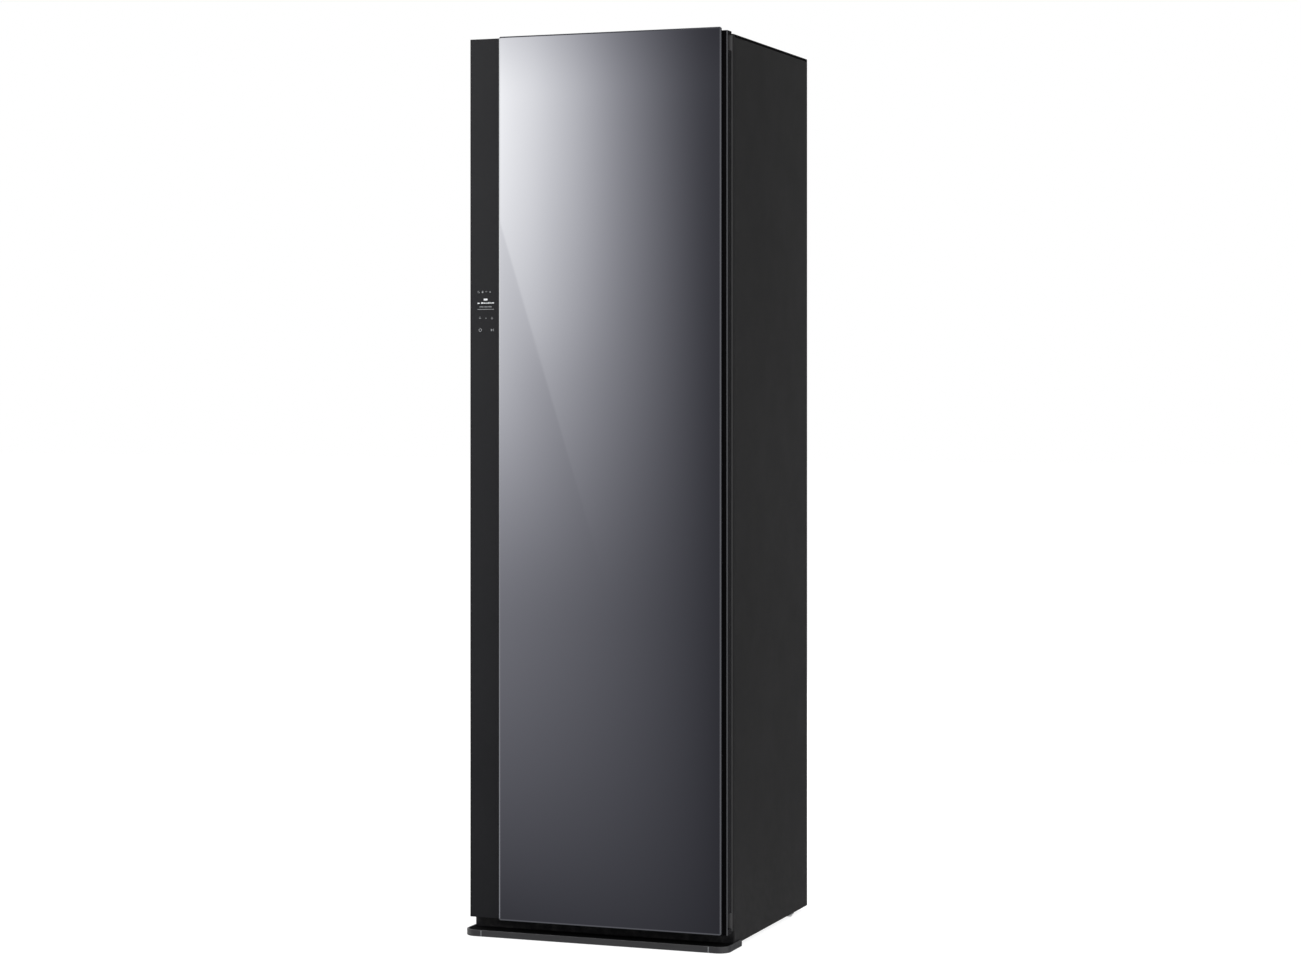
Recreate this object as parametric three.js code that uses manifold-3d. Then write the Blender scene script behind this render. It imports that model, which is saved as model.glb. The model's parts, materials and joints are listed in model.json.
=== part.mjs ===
// A clothes care steam cabinet: a tall steel cabinet with a mirror glass door, a recessed control strip,
// a hanging chamber with a shaking hanger bar, a heat pump and steam unit below it, and two water tanks.
// Millimetres, +Z up, the door faces -Y, the origin is on the floor under the middle of the cabinet.
import * as THREE from 'three';
import { mergeVertices } from 'three/addons/utils/BufferGeometryUtils.js';
import Module from 'manifold-3d';

const wasm = await Module();
wasm.setup();

// Fits shared by all pieces
const seat = 0.3;
const overrun = 10;
const weldDistance = 0.001;
const roundSteps = 10;
const smallRoundSteps = 6;

// The whole cabinet
const cabinetWidth = 600;
const overallDepth = 600;
const bodyTop = 1949.5;
const bodyBottom = 9.5;
const bodySetback = 50;
const rearCoverDepth = 22;
const sheet = 1.2;
const sideCornerRadius = 10;
const sideFlange = 14;

const halfWidth = cabinetWidth / 2;
const barFrontY = -overallDepth / 2;
const rearY = overallDepth / 2;
const bodyFrontY = barFrontY + bodySetback;
const bodyRearY = rearY - rearCoverDepth;
const sideInnerX = halfWidth - sheet;

// Kick plate and base bar under the door
const kickSetback = 9;
const kickThickness = 3;
const kickTop = 39.7;
const kickBottomGap = 0.5;
const barOverhang = 4;
const barTop = 15;
const barFloorGap = 1;
const barCornerRadius = 42;
const barReachBack = 100;
const barEndWidth = 42;

const kickFrontY = bodyFrontY + kickSetback;
const kickRearY = kickFrontY + kickThickness;
const barHalfWidth = halfWidth + barOverhang;
const barSeamX = barHalfWidth - barEndWidth;
const barThickness = barOverhang - seat;

// Front frame around the two openings
const frameThickness = 4;
const frameHalfWidth = halfWidth - sideFlange - seat;
const frameBottom = kickTop + seat;
const topFlangeDrop = 10;
const frameTop = bodyTop - topFlangeDrop - seat;

// Hanging chamber
const linerWall = 4;
const sideWallSpace = 48;
const chamberFloor = 429;
const ceilingSpace = 99.5;
const chamberBackSpace = 63;
const ledgeReach = 8;
const ledgeThickness = 4;
const shelfHeight = 171;
const shelfFrontSpace = 70;
const shelfBackSpace = 25;

const chamberHalfWidth = halfWidth - sideWallSpace;
const chamberCeiling = bodyTop - ceilingSpace;
const chamberBackY = bodyRearY - chamberBackSpace;
const shelfFrontY = bodyFrontY + shelfFrontSpace;
const shelfBackY = chamberBackY - shelfBackSpace;
const linerHalfWidth = chamberHalfWidth + linerWall;
const linerBottom = chamberFloor - linerWall;
const linerTop = chamberCeiling + linerWall;
const shelfZ = chamberFloor + shelfHeight;
const linerBackY = chamberBackY + linerWall;

// Tank bay and the two tanks
const bayWall = 3;
const bayLeftSpace = 43;
const bayRightSpace = 62;
const bayFloor = 111;
const bayTopSpace = 77;
const bayBackGap = 40;
const bayRibCentreX = -5;
const bayRibWidth = 14;
const bayRibHeight = 30;
const tankWall = 3;
const tankSetback = 33;
const tankSideGap = 4;
const tankRibGap = 3;
const tankBackGap = 8;
const tankHeadSpace = 32;
const tankCornerRadius = 12;
const lidThickness = 8;
const lidLip = 12;

const bayLeftX = -chamberHalfWidth + bayLeftSpace;
const bayRightX = chamberHalfWidth - bayRightSpace;
const bayCeiling = linerBottom - bayTopSpace;
const bayRibLeftX = bayRibCentreX - bayRibWidth / 2;
const bayRibRightX = bayRibCentreX + bayRibWidth / 2;
const supplyLeftX = bayLeftX + tankSideGap;
const supplyRightX = bayRibLeftX - tankRibGap;
const drainLeftX = bayRibRightX + tankRibGap;
const drainRightX = bayRightX - tankSideGap;
const tankHeight = bayCeiling - bayFloor - tankHeadSpace;

// Door
const glassSetback = 8;
const glassThickness = 5;
const glassBevel = 3;
const glassBevelDepth = 1;
const glassCornerRadius = 4;
const stripWidth = 77;
const marginWidth = 12;
const glassBottom = 38;
const glassRise = 10.5;
const doorGap = 8;
const shellBottom = 37.5;
const shellRise = 3.5;
const gripOverhang = 11;
const shellEdgeRadius = 3;
const marginStep = 1.7;
const stripRecess = 19.5;
const stripThickness = 3;
const stripRise = 9.5;
const stripEdgeRadius = 2;
const shellSkin = 3.7;
const pocketStepGap = 7;
const pocketPlugInset = 6;

const glassLeftX = -halfWidth + stripWidth;
const glassRightX = halfWidth - marginWidth;
const glassTop = bodyTop + glassRise;
const shellTop = bodyTop + shellRise;
const stripTop = bodyTop + stripRise;
const shellStepX = glassLeftX + gripOverhang;
const glassFrontY = barFrontY + glassSetback;
const glassBackY = glassFrontY + glassThickness;
const shellFrontY = glassBackY + seat;
const marginFrontY = shellFrontY + marginStep;
const doorBackY = bodyFrontY - doorGap;
const stripFrontY = glassFrontY + stripRecess;
const stripBackY = stripFrontY + stripThickness;
const shellBesideStripY = stripBackY + seat;
const pocketFrontY = shellFrontY + shellSkin;

// Display behind the control strip
const displayInset = 18;
const displayWidth = 45;
const displayBottom = 1316;
const displayHeight = 93;
const displayDepth = 6.6;

const displayLeftX = -halfWidth + displayInset;
const displayRightX = displayLeftX + displayWidth;
const displayTop = displayBottom + displayHeight;

// Gasket and inner door panel
const gasketEdge = 16;
const gasketWidth = 20;
const gasketTopEdge = 67.5;
const gasketBottomEdge = 24.7;
const gasketCornerRadius = 24;
const plugSideGap = 6;
const plugInset = 4;
const plugDepth = 18;
const plugWall = 3;
const plugCornerRadius = 20;
const fasciaGap = 4;
const fasciaWall = 3;

const gasketOuterX = halfWidth - gasketEdge;
const gasketTop = bodyTop - gasketTopEdge;
const fasciaFloor = bayFloor - bayWall - seat;
const gasketBottom = fasciaFloor - gasketBottomEdge;
const plugHalfWidth = chamberHalfWidth - plugSideGap;
const pocketLeftX = shellStepX + pocketStepGap;
const pocketRightX = plugHalfWidth - pocketPlugInset;
const plugBottom = fasciaFloor + plugInset;
const plugTop = chamberCeiling - plugInset;
const plugBackY = doorBackY + plugDepth;
const fasciaFrontY = plugBackY + fasciaGap;
const fasciaBackY = fasciaFrontY + fasciaWall;

// Door hinges
const hingeInset = 14;
const hingeBehindGlass = 18;
const hingeUpperDrop = 21;
const hingeLowerZ = 65;
const hingeBossRadius = 8;
const hingeBossHeight = 27;
const hingeLeafWidth = 23;
const hingeLeafThickness = 7;
const hingePinRadius = 4;
const hingePinLength = 44;
const notchHeight = 33;
const notchDepth = 42;
const notchSkinGap = 1;

const hingeX = halfWidth - hingeInset;
const hingeY = glassFrontY + hingeBehindGlass;
const hingeUpperZ = bodyTop - hingeUpperDrop;
const notchLeftX = halfWidth - notchDepth;
const notchFrontY = hingeY - hingeBossRadius - notchSkinGap;

// Trouser press on the inside of the door
const pressBoardLeftMargin = 86;
const pressBoardRightMargin = 74;
const pressFloorSpace = 251;
const pressCeilingSpace = 160;
const pressBaseThickness = 10;
const pressPanelThickness = 20;
const pressPanelInset = 10;
const pressPanelGap = 7;
const pressCornerRadius = 12;
const pressLugHeight = 14;
const pressHingeInset = 15;
const pressHingeStandOff = 8.7;
const pressBarrelRadius = 7;
const pressRodRadius = 3;
const pressGap = 0.5;
const pressEndGap = 2;
const pressGripDepth = 12;
const pressGripHeight = 120;
const pressGripThickness = 6;
const pressRootOverlap = 1;

const pressLeftX = -plugHalfWidth + pressBoardLeftMargin;
const pressRightX = plugHalfWidth - pressBoardRightMargin;
const pressBottom = chamberFloor + pressFloorSpace;
const pressTop = chamberCeiling - pressCeilingSpace;
const pressHingeX = pressRightX - pressHingeInset;
const pressPanelLeftX = pressLeftX + pressPanelInset;
const pressPanelRightX = pressHingeX - pressPanelGap;
const pressBaseFrontY = plugBackY + seat;
const pressBaseBackY = pressBaseFrontY + pressBaseThickness;
const pressHingeY = pressBaseBackY + pressHingeStandOff;
const pressPanelFrontY = pressBaseBackY + pressGap;
const pressPanelBackY = pressPanelFrontY + pressPanelThickness;

// Base pan, feet and rollers
const panThickness = 2;
const panFloor = 32;
const panWallTop = 60;
const panInset = 3;
const footInset = 62;
const footSetback = 35;
const footRadius = 16;
const footHeight = 6;
const footStemRadius = 5;
const bracketThickness = 3.2;
const bracketHalfWidth = 23;
const bracketWebAhead = 18;
const bracketWebBehind = 25;
const rollerRadius = 13;
const rollerWidth = 14;
const rollerInset = 12;
const rollerRearSpace = 100;
const rollerRim = 2;
const rollerAxleRadius = 3;
const rollerEarWidth = 2;
const rollerEarLength = 20;
const rollerEarBottom = 6;

const footX = halfWidth - footInset;
const footY = bodyFrontY + footSetback;
const bracketLeftX = footX - bracketHalfWidth;
const bracketRightX = footX + bracketHalfWidth;
const bracketWebFrontY = footY - bracketWebAhead;
const bracketWebBackY = footY + bracketWebBehind;
const rollerCentreX = halfWidth - rollerInset;
const rollerY = bodyRearY - rollerRearSpace;
const panBottom = panFloor - panThickness;
const bracketBottom = footHeight + seat;

// Rear covers
const machineCoverBottom = 40;
const coverJointDrop = 7;
const rearCoverInset = 15;
const rearCoverTopDrop = 9.5;
const rearCoverSlope = 45;
const louvreRows = 9;
const louvreTopSpace = 80;
const louvreBottomSpace = 90;
const louvreHeight = 9;
const louvreEdge = 75;
const louvreInnerX = 40;
const glandEdge = 75;
const glandRise = 40;
const glandFlangeRadius = 13;
const glandNeckRadius = 9;
const glandBoreRadius = 4;
const glandFlangeDepth = 5;
const glandReach = 9;

const machineCoverTop = linerBottom - coverJointDrop;
const rearCoverHalfWidth = halfWidth - rearCoverInset;
const rearCoverTop = bodyTop - rearCoverTopDrop;
const louvreLength = rearCoverHalfWidth - louvreEdge - louvreInnerX;
const louvreFirstZ = machineCoverBottom + louvreBottomSpace;
const louvreLastZ = machineCoverTop - louvreTopSpace;
const louvrePitch = (louvreLastZ - louvreFirstZ) / (louvreRows - 1);
const glandX = -rearCoverHalfWidth + glandEdge;
const glandZ = machineCoverBottom + glandRise;

// Heat pump, fan and steam unit in the machine room
const compressorSideSpace = 130;
const compressorRearSpace = 113;
const compressorRadius = 58;
const compressorHeight = 175;
const compressorDome = 26;
const compressorPlate = 130;
const compressorPlateThickness = 4;
const compressorPlateRadius = 10;
const coilLeftGap = 90;
const coilRightGap = 30;
const coilsBelowFan = 80;
const coilDepth = 40;
const evaporatorRearSpace = 188;
const coilSpacing = 60;
const finCount = 13;
const finThickness = 5;
const finSpineThickness = 12;
const fanBelowChamber = 85;
const fanSetback = 5;
const fanDepth = 80;
const fanHousingHalf = 74;
const fanWall = 4;
const fanBoreRadius = 62;
const fanInletRadius = 44;
const fanNeckHalf = 40;
const impellerRadius = 56;
const impellerHubRadius = 16;
const impellerPlate = 4;
const bladeCount = 12;
const bladeThickness = 3;
const bladeLength = 16;
const fanShaftRadius = 3;
const fanMotorRadius = 30;
const fanMotorLength = 45;
const steamSideSpace = 60;
const steamWidth = 90;
const steamDepth = 80;
const steamBelowCoils = 60;
const steamCornerRadius = 10;
const steamNeckRadius = 14;
const steamNeckHeight = 30;
const steamHoseRadius = 9;
const steamHoseBend = 12;
const steamHoseSteps = 10;
const nozzleRadius = 26;
const nozzleHeight = 12;
const nozzleSpigotRadius = 14;
const nozzleSpigotLength = 24;
const nozzleSlotWidth = 5;
const nozzleSlotLength = 30;
const nozzleSlotDepth = 6;
const pumpRadius = 22;
const pumpHeight = 78;
const pumpHeadRadius = 15;
const pumpHeadHeight = 22;
const supplyPumpOffset = 5;
const supplyPumpRearSpace = 56;
const drainPumpInset = 40;
const drainPumpRearSpace = 46;

const steamRightX = halfWidth - steamSideSpace;
const steamLeftX = steamRightX - steamWidth;
const compressorX = -halfWidth + compressorSideSpace;
const compressorY = bodyRearY - compressorRearSpace;
const coilLeftX = compressorX + coilLeftGap;
const coilRightX = steamLeftX - coilRightGap;
const evaporatorFrontY = bodyRearY - evaporatorRearSpace;
const condenserFrontY = evaporatorFrontY + coilSpacing;
const fanX = (coilLeftX + coilRightX) / 2;
const fanZ = linerBottom - fanBelowChamber;
const coilTop = fanZ - coilsBelowFan;
const steamTop = coilTop - steamBelowCoils;
const fanFrontY = evaporatorFrontY + fanSetback;
const fanBackY = fanFrontY + fanDepth;
const steamFrontY = evaporatorFrontY;
const steamBackY = steamFrontY + steamDepth;
const steamX = (steamLeftX + steamRightX) / 2;
const steamY = (steamFrontY + steamBackY) / 2;
const supplyPumpX = steamX + supplyPumpOffset;
const supplyPumpY = bodyRearY - supplyPumpRearSpace;
const drainPumpX = coilLeftX + drainPumpInset;
const drainPumpY = bodyRearY - drainPumpRearSpace;
const bayBackY = evaporatorFrontY - bayBackGap;
const tankFrontY = fasciaFrontY + tankSetback;
const tankLength = bayBackY - tankBackGap - tankFrontY;

// Fittings in the chamber floor
const grilleHalfWidth = 80;
const grilleDepth = 80;
const grilleThickness = 5;
const grilleRim = 10;
const grilleSlots = 6;
const grilleSlotShare = 0.5;
const lintSideSpace = 52;
const lintWidth = 140;
const floorFittingSetback = 45;
const lintDepth = 80;
const lintDrop = 52;
const lintFlange = 8;
const lintFlangeThickness = 4;
const lintSlots = 7;
const lintWall = 3;
const lintSlotShare = 0.45;
const scentLeftX = 70;
const scentWidth = 60;
const scentDepth = 50;
const scentDrop = 45;
const scentFlange = 6;
const scentCapHeight = 12;

const lintLeftX = -chamberHalfWidth + lintSideSpace;
const lintRightX = lintLeftX + lintWidth;
const lintFrontY = bodyFrontY + floorFittingSetback;
const lintBackY = lintFrontY + lintDepth;
const scentRightX = scentLeftX + scentWidth;
const scentFrontY = lintFrontY;
const scentBackY = scentFrontY + scentDepth;

// Shelf and lamp in the chamber
const shelfThickness = 12;
const shelfRim = 16;
const shelfSlats = 9;
const shelfSlatShare = 0.55;
const shelfClearance = 5;
const lampHalfWidth = 110;
const lampSetback = 50;
const lampDepth = 26;
const lampHeight = 6;

const lampFrontY = bodyFrontY + lampSetback;

// Hanger bar and its drive above the ceiling
const hangerBackSpace = 225;
const hangerDrop = 60;
const hangerEndSpace = 62;
const hangerBarDepth = 16;
const hangerBarHeight = 26;
const hangerNotches = 5;
const hangerNotchEdge = 45;
const hangerNotchWidth = 14;
const hangerNotchDepth = 5;
const hangerTravel = 20;
const postEndSpace = 25;
const postWidth = 16;
const postDepth = 12;
const slotClearance = 3;
const sliderHalfDepth = 20;
const sliderLift = 6;
const sliderThickness = 6;
const yokeHalfWidth = 14;
const yokeReach = 100;
const crankBehindBar = 70;
const crankPinRadius = 4;
const crankDiscRadius = 27;
const crankDiscThickness = 6;
const crankGap = 4;
const crankClearance = 0.5;
const railEndSpace = 41;
const railWidth = 24;
const railLip = 15;
const railHeight = 16;
const gearmotorRadius = 28;
const gearmotorHeight = 42;
const gearmotorShaftRadius = 4;
const gearmotorPlate = 3;
const gearmotorPlateHalfLength = 70;
const gearmotorPlateHalfDepth = 30;
const gearmotorLegWidth = 10;
const gearmotorShaftGap = 3;
const controlBoxSideSpace = 21;
const controlBoxMotorGap = 20;
const controlBoxDepth = 140;
const controlBoxHeight = 42;
const controlBoxRadius = 6;

const hangerY = chamberBackY - hangerBackSpace;
const hangerZ = chamberCeiling - hangerDrop;
const hangerHalfLength = chamberHalfWidth - hangerEndSpace;
const sliderHalfLength = hangerHalfLength;
const postX = hangerHalfLength - postEndSpace;
const hangerNotchPitch = 2 * (postX - hangerNotchEdge) / (hangerNotches - 1);
const railHalfLength = linerHalfWidth - railEndSpace;
const crankY = hangerY + crankBehindBar;
const controlBoxLeftX = -linerHalfWidth + controlBoxSideSpace;
const controlBoxRightX = -gearmotorPlateHalfLength - controlBoxMotorGap;
const controlBoxFrontY = crankY;
const controlBoxBackY = controlBoxFrontY + controlBoxDepth;

// Finishes
const finishes = {
  mirror: { color: 0x2c2e33, roughness: 0.06, metalness: 0.9 },
  glossBlack: { color: 0x0b0b0c, roughness: 0.12, metalness: 0.0 },
  satinStrip: { color: 0x24252a, roughness: 0.3, metalness: 0.1 },
  cabinetPaint: { color: 0x2b2b2d, roughness: 0.5, metalness: 0.2 },
  kickPaint: { color: 0x141416, roughness: 0.7, metalness: 0.1 },
  barPlastic: { color: 0x3a3a3c, roughness: 0.5, metalness: 0.0 },
  linerPlastic: { color: 0x8a8d91, roughness: 0.45, metalness: 0.0 },
  darkPlastic: { color: 0x232426, roughness: 0.5, metalness: 0.0 },
  rubber: { color: 0x3c3d40, roughness: 0.8, metalness: 0.0 },
  zincSteel: { color: 0xa9adb0, roughness: 0.35, metalness: 0.9 },
  aluminium: { color: 0xc3c6c8, roughness: 0.4, metalness: 0.9 },
  tankPlastic: { color: 0x55606b, roughness: 0.25, metalness: 0.0 },
  lightPlastic: { color: 0xd9dadc, roughness: 0.4, metalness: 0.0 },
  compressorPaint: { color: 0x0f0f10, roughness: 0.4, metalness: 0.3 },
};

// Solids and booleans
function toSolid(geometry) {
  const bare = geometry.index ? geometry.toNonIndexed() : geometry.clone();
  bare.deleteAttribute('normal');
  bare.deleteAttribute('uv');
  const merged = mergeVertices(bare, weldDistance);
  return new wasm.Manifold(new wasm.Mesh({
    numProp: 3,
    vertProperties: new Float32Array(merged.attributes.position.array),
    triVerts: new Uint32Array(merged.index.array),
  }));
}

function toGeometry(solid) {
  const { vertProperties, triVerts } = solid.getMesh();
  const geometry = new THREE.BufferGeometry();
  geometry.setAttribute('position', new THREE.BufferAttribute(vertProperties, 3));
  geometry.setIndex(new THREE.BufferAttribute(triVerts, 1));
  geometry.computeVertexNormals();
  return geometry;
}

const join = (first, ...others) => others.reduce((all, next) => all.add(next), first);
const cut = (first, ...others) => others.reduce((all, next) => all.subtract(next), first);

// Outlines: each is drawn in the plane that its prism stands on
function polygon(points) {
  return new THREE.Shape(points.map(([across, up]) => new THREE.Vector2(across, up)));
}

function roundedRectangle(left, right, low, high, radius) {
  const shape = new THREE.Shape();
  const quarter = Math.PI / 2;
  shape.absarc(right - radius, low + radius, radius, -quarter, 0, false);
  shape.absarc(right - radius, high - radius, radius, 0, quarter, false);
  shape.absarc(left + radius, high - radius, radius, quarter, 2 * quarter, false);
  shape.absarc(left + radius, low + radius, radius, 2 * quarter, 3 * quarter, false);
  return shape;
}

function circle(across, up, radius) {
  const shape = new THREE.Shape();
  shape.absarc(across, up, radius, 0, 2 * Math.PI, false);
  return shape;
}

// Prisms along each axis, and a plain box
const alongX = () => new THREE.Matrix4().makeBasis(
  new THREE.Vector3(0, 1, 0), new THREE.Vector3(0, 0, 1), new THREE.Vector3(1, 0, 0));
const alongY = () => new THREE.Matrix4().makeBasis(
  new THREE.Vector3(1, 0, 0), new THREE.Vector3(0, 0, 1), new THREE.Vector3(0, -1, 0));

function prism(shape, length, basis, steps) {
  const geometry = new THREE.ExtrudeGeometry(
    shape, { depth: length, bevelEnabled: false, curveSegments: steps });
  return toSolid(geometry.applyMatrix4(basis));
}

function prismX(shape, fromX, toX, steps = smallRoundSteps) {
  return prism(shape, toX - fromX, alongX().setPosition(fromX, 0, 0), steps);
}

function prismY(shape, fromY, toY, steps = smallRoundSteps) {
  return prism(shape, toY - fromY, alongY().setPosition(0, toY, 0), steps);
}

function prismZ(shape, fromZ, toZ, steps = smallRoundSteps) {
  return prism(shape, toZ - fromZ, new THREE.Matrix4().setPosition(0, 0, fromZ), steps);
}

function box(fromX, toX, fromY, toY, fromZ, toZ) {
  const geometry = new THREE.BoxGeometry(toX - fromX, toY - fromY, toZ - fromZ);
  geometry.translate((fromX + toX) / 2, (fromY + toY) / 2, (fromZ + toZ) / 2);
  return toSolid(geometry);
}

// Groups of the pieces that move together
const cabinet = new THREE.Group();
const door = new THREE.Group();
const model = new THREE.Group();
model.add(cabinet, door);

function addPiece(group, name, solid, finish, place = [0, 0, 0]) {
  const material = new THREE.MeshStandardMaterial(finishes[finish]);
  const mesh = new THREE.Mesh(toGeometry(solid), material);
  mesh.name = name;
  mesh.position.set(...place);
  group.add(mesh);
}

// Side panels: folded sheets with a rounded front edge and flanges front and rear
function sidePanel(side) {
  const bend = sideCornerRadius;
  const flangeX = halfWidth - sideFlange;
  const shape = new THREE.Shape();
  shape.moveTo(flangeX, bodyFrontY);
  shape.lineTo(halfWidth - bend, bodyFrontY);
  shape.absarc(halfWidth - bend, bodyFrontY + bend, bend, -Math.PI / 2, 0, false);
  shape.lineTo(halfWidth, bodyRearY);
  shape.lineTo(flangeX, bodyRearY);
  shape.lineTo(flangeX, bodyRearY - sheet);
  shape.lineTo(sideInnerX, bodyRearY - sheet);
  shape.absarc(halfWidth - bend, bodyFrontY + bend, bend - sheet, 0, -Math.PI / 2, true);
  shape.lineTo(flangeX, bodyFrontY + sheet);
  const folded = prismZ(shape, bodyBottom, bodyTop - sheet - seat);
  const kickSpace = box(
    flangeX - overrun, halfWidth + overrun, bodyFrontY - overrun, kickRearY + seat,
    bodyBottom - overrun, frameBottom);
  const panel = cut(folded, kickSpace);
  return side < 0 ? panel.mirror([1, 0, 0]) : panel;
}

addPiece(cabinet, 'side_panel_left', sidePanel(-1), 'cabinetPaint');
addPiece(cabinet, 'side_panel_right', sidePanel(1), 'cabinetPaint');

// Top panel with a flange down at the front and one at the rear
function topPanel() {
  const under = bodyTop - sheet;
  const flangeHalf = halfWidth - sideFlange - seat;
  const plan = new THREE.Shape();
  plan.moveTo(-halfWidth, bodyRearY);
  plan.lineTo(-halfWidth, bodyFrontY + sideCornerRadius);
  plan.absarc(
    -halfWidth + sideCornerRadius, bodyFrontY + sideCornerRadius, sideCornerRadius,
    Math.PI, 1.5 * Math.PI);
  plan.absarc(
    halfWidth - sideCornerRadius, bodyFrontY + sideCornerRadius, sideCornerRadius, -Math.PI / 2, 0);
  plan.lineTo(halfWidth, bodyRearY);
  const drop = bodyTop - topFlangeDrop;
  return join(
    prismZ(plan, under, bodyTop),
    box(-flangeHalf, flangeHalf, bodyFrontY, bodyFrontY + sheet, drop, bodyTop - sheet / 2),
    box(-flangeHalf, flangeHalf, bodyRearY - sheet, bodyRearY, drop, bodyTop - sheet / 2));
}

addPiece(cabinet, 'top_panel', topPanel(), 'cabinetPaint');

// Rear cover: a pan that stands off the back; the lower cover has louvres and the hole of the cord gland
function rearCover() {
  const low = machineCoverTop + seat;
  const fromY = bodyRearY + seat;
  const pan = (inset) => {
    const profile = polygon([
      [-rearCoverHalfWidth + rearCoverSlope + inset, rearY - inset],
      [rearCoverHalfWidth - rearCoverSlope - inset, rearY - inset],
      [rearCoverHalfWidth - inset, fromY + sheet - inset],
      [rearCoverHalfWidth - inset, fromY - inset],
      [-rearCoverHalfWidth + inset, fromY - inset],
      [-rearCoverHalfWidth + inset, fromY + sheet - inset],
    ]);
    return prismZ(profile, low + inset, rearCoverTop - inset);
  };
  return cut(pan(0), pan(sheet));
}

function machineCover() {
  const fromY = bodyRearY + seat;
  const plate = box(
    -rearCoverHalfWidth, rearCoverHalfWidth, fromY, fromY + sheet, machineCoverBottom, machineCoverTop);
  const slots = [];
  for (let row = 0; row < louvreRows; row += 1) {
    const low = louvreFirstZ + row * louvrePitch;
    for (const side of [-1, 1]) {
      const middle = side * (louvreInnerX + louvreLength / 2);
      slots.push(box(
        middle - louvreLength / 2, middle + louvreLength / 2, fromY - overrun, fromY + overrun,
        low, low + louvreHeight));
    }
  }
  const glandHole = prismY(
    circle(glandX, glandZ, glandNeckRadius + seat), fromY - overrun, fromY + overrun);
  return cut(plate, ...slots, glandHole);
}

function cordGland() {
  const outsideY = bodyRearY + seat + sheet + seat;
  const whole = join(
    prismY(circle(glandX, glandZ, glandFlangeRadius), outsideY, outsideY + glandFlangeDepth),
    prismY(
      circle(glandX, glandZ, glandNeckRadius), outsideY - glandReach, outsideY + glandFlangeDepth / 2));
  const bore = prismY(
    circle(glandX, glandZ, glandBoreRadius), outsideY - glandReach - overrun, rearY + overrun);
  return cut(whole, bore);
}

addPiece(cabinet, 'rear_cover', rearCover(), 'zincSteel');
addPiece(cabinet, 'machine_cover', machineCover(), 'zincSteel');
addPiece(cabinet, 'cord_gland', cordGland(), 'darkPlastic');

// Front frame: a flat rim, the chamber opening, and a sunk fascia below it round the mouth of the tank bay
function frontFrame() {
  const rimBackY = bodyFrontY + frameThickness;
  const fasciaTop = linerBottom - seat;
  const rim = box(-frameHalfWidth, frameHalfWidth, bodyFrontY, rimBackY, frameBottom, frameTop);
  const fascia = box(
    -linerHalfWidth, linerHalfWidth, bodyFrontY, fasciaBackY, fasciaFloor - fasciaWall, fasciaTop);
  const recess = box(
    -chamberHalfWidth, chamberHalfWidth, bodyFrontY - overrun, fasciaFrontY, fasciaFloor, linerBottom);
  const chamberHole = box(
    -linerHalfWidth - seat, linerHalfWidth + seat, bodyFrontY - overrun, rimBackY + overrun,
    fasciaTop, linerTop + seat);
  const bayMouth = box(
    bayLeftX - bayWall - seat, bayRightX + bayWall + seat, fasciaFrontY - overrun, fasciaBackY + overrun,
    fasciaFloor, bayCeiling + bayWall + seat);
  return cut(join(rim, fascia), recess, chamberHole, bayMouth);
}

addPiece(cabinet, 'front_frame', frontFrame(), 'darkPlastic');

// Moulded chamber liner with shelf ledges, post slots in the ceiling and four holes in the floor
const sliderZ = linerTop + sliderLift;

function floorHole(leftX, rightX, frontY, backY) {
  return box(
    leftX - seat, rightX + seat, frontY - seat, backY + seat,
    linerBottom - overrun, chamberFloor + overrun);
}

const grilleBackY = steamY + grilleDepth / 2;
const grilleFrontY = steamY - grilleDepth / 2;

function innerLiner() {
  const shell = cut(
    box(-linerHalfWidth, linerHalfWidth, bodyFrontY, linerBackY, linerBottom, linerTop),
    box(
      -chamberHalfWidth, chamberHalfWidth, bodyFrontY - overrun, chamberBackY,
      chamberFloor, chamberCeiling),
    box(
      -chamberHalfWidth, chamberHalfWidth, bodyFrontY - overrun, fasciaFrontY,
      linerBottom - overrun, chamberFloor));
  const ledges = [-1, 1].map((side) => {
    const outer = side * (chamberHalfWidth + linerWall / 2);
    const inner = side * (chamberHalfWidth - ledgeReach);
    return box(
      Math.min(outer, inner), Math.max(outer, inner), shelfFrontY, shelfBackY,
      shelfZ - ledgeThickness, shelfZ);
  });
  const slots = [-1, 1].map((side) => {
    const halfLength = postWidth / 2 + hangerTravel + slotClearance;
    const halfDepth = postDepth / 2 + slotClearance;
    return box(
      side * postX - halfLength, side * postX + halfLength, hangerY - halfDepth, hangerY + halfDepth,
      chamberCeiling - overrun, linerTop + overrun);
  });
  const nozzleHole = prismZ(
    circle(steamX, steamY, nozzleSpigotRadius + seat),
    linerBottom - overrun, chamberFloor + overrun, roundSteps);
  return cut(
    join(shell, ...ledges), ...slots, nozzleHole,
    floorHole(fanX - fanNeckHalf, fanX + fanNeckHalf, grilleFrontY + grilleRim, grilleBackY - grilleRim),
    floorHole(lintLeftX, lintRightX, lintFrontY, lintBackY),
    floorHole(scentLeftX, scentRightX, scentFrontY, scentBackY));
}

addPiece(cabinet, 'inner_liner', innerLiner(), 'linerPlastic');

// Tank bay: a box open at the front with a low rib between the tanks
function tankBay() {
  const shell = cut(
    box(
      bayLeftX - bayWall, bayRightX + bayWall, fasciaFrontY, bayBackY + bayWall,
      bayFloor - bayWall, bayCeiling + bayWall),
    box(bayLeftX, bayRightX, fasciaFrontY - overrun, bayBackY, bayFloor, bayCeiling));
  const rib = box(
    bayRibLeftX, bayRibRightX, fasciaFrontY, bayBackY + bayWall / 2,
    bayFloor - bayWall / 2, bayFloor + bayRibHeight);
  return join(shell, rib);
}

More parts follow.
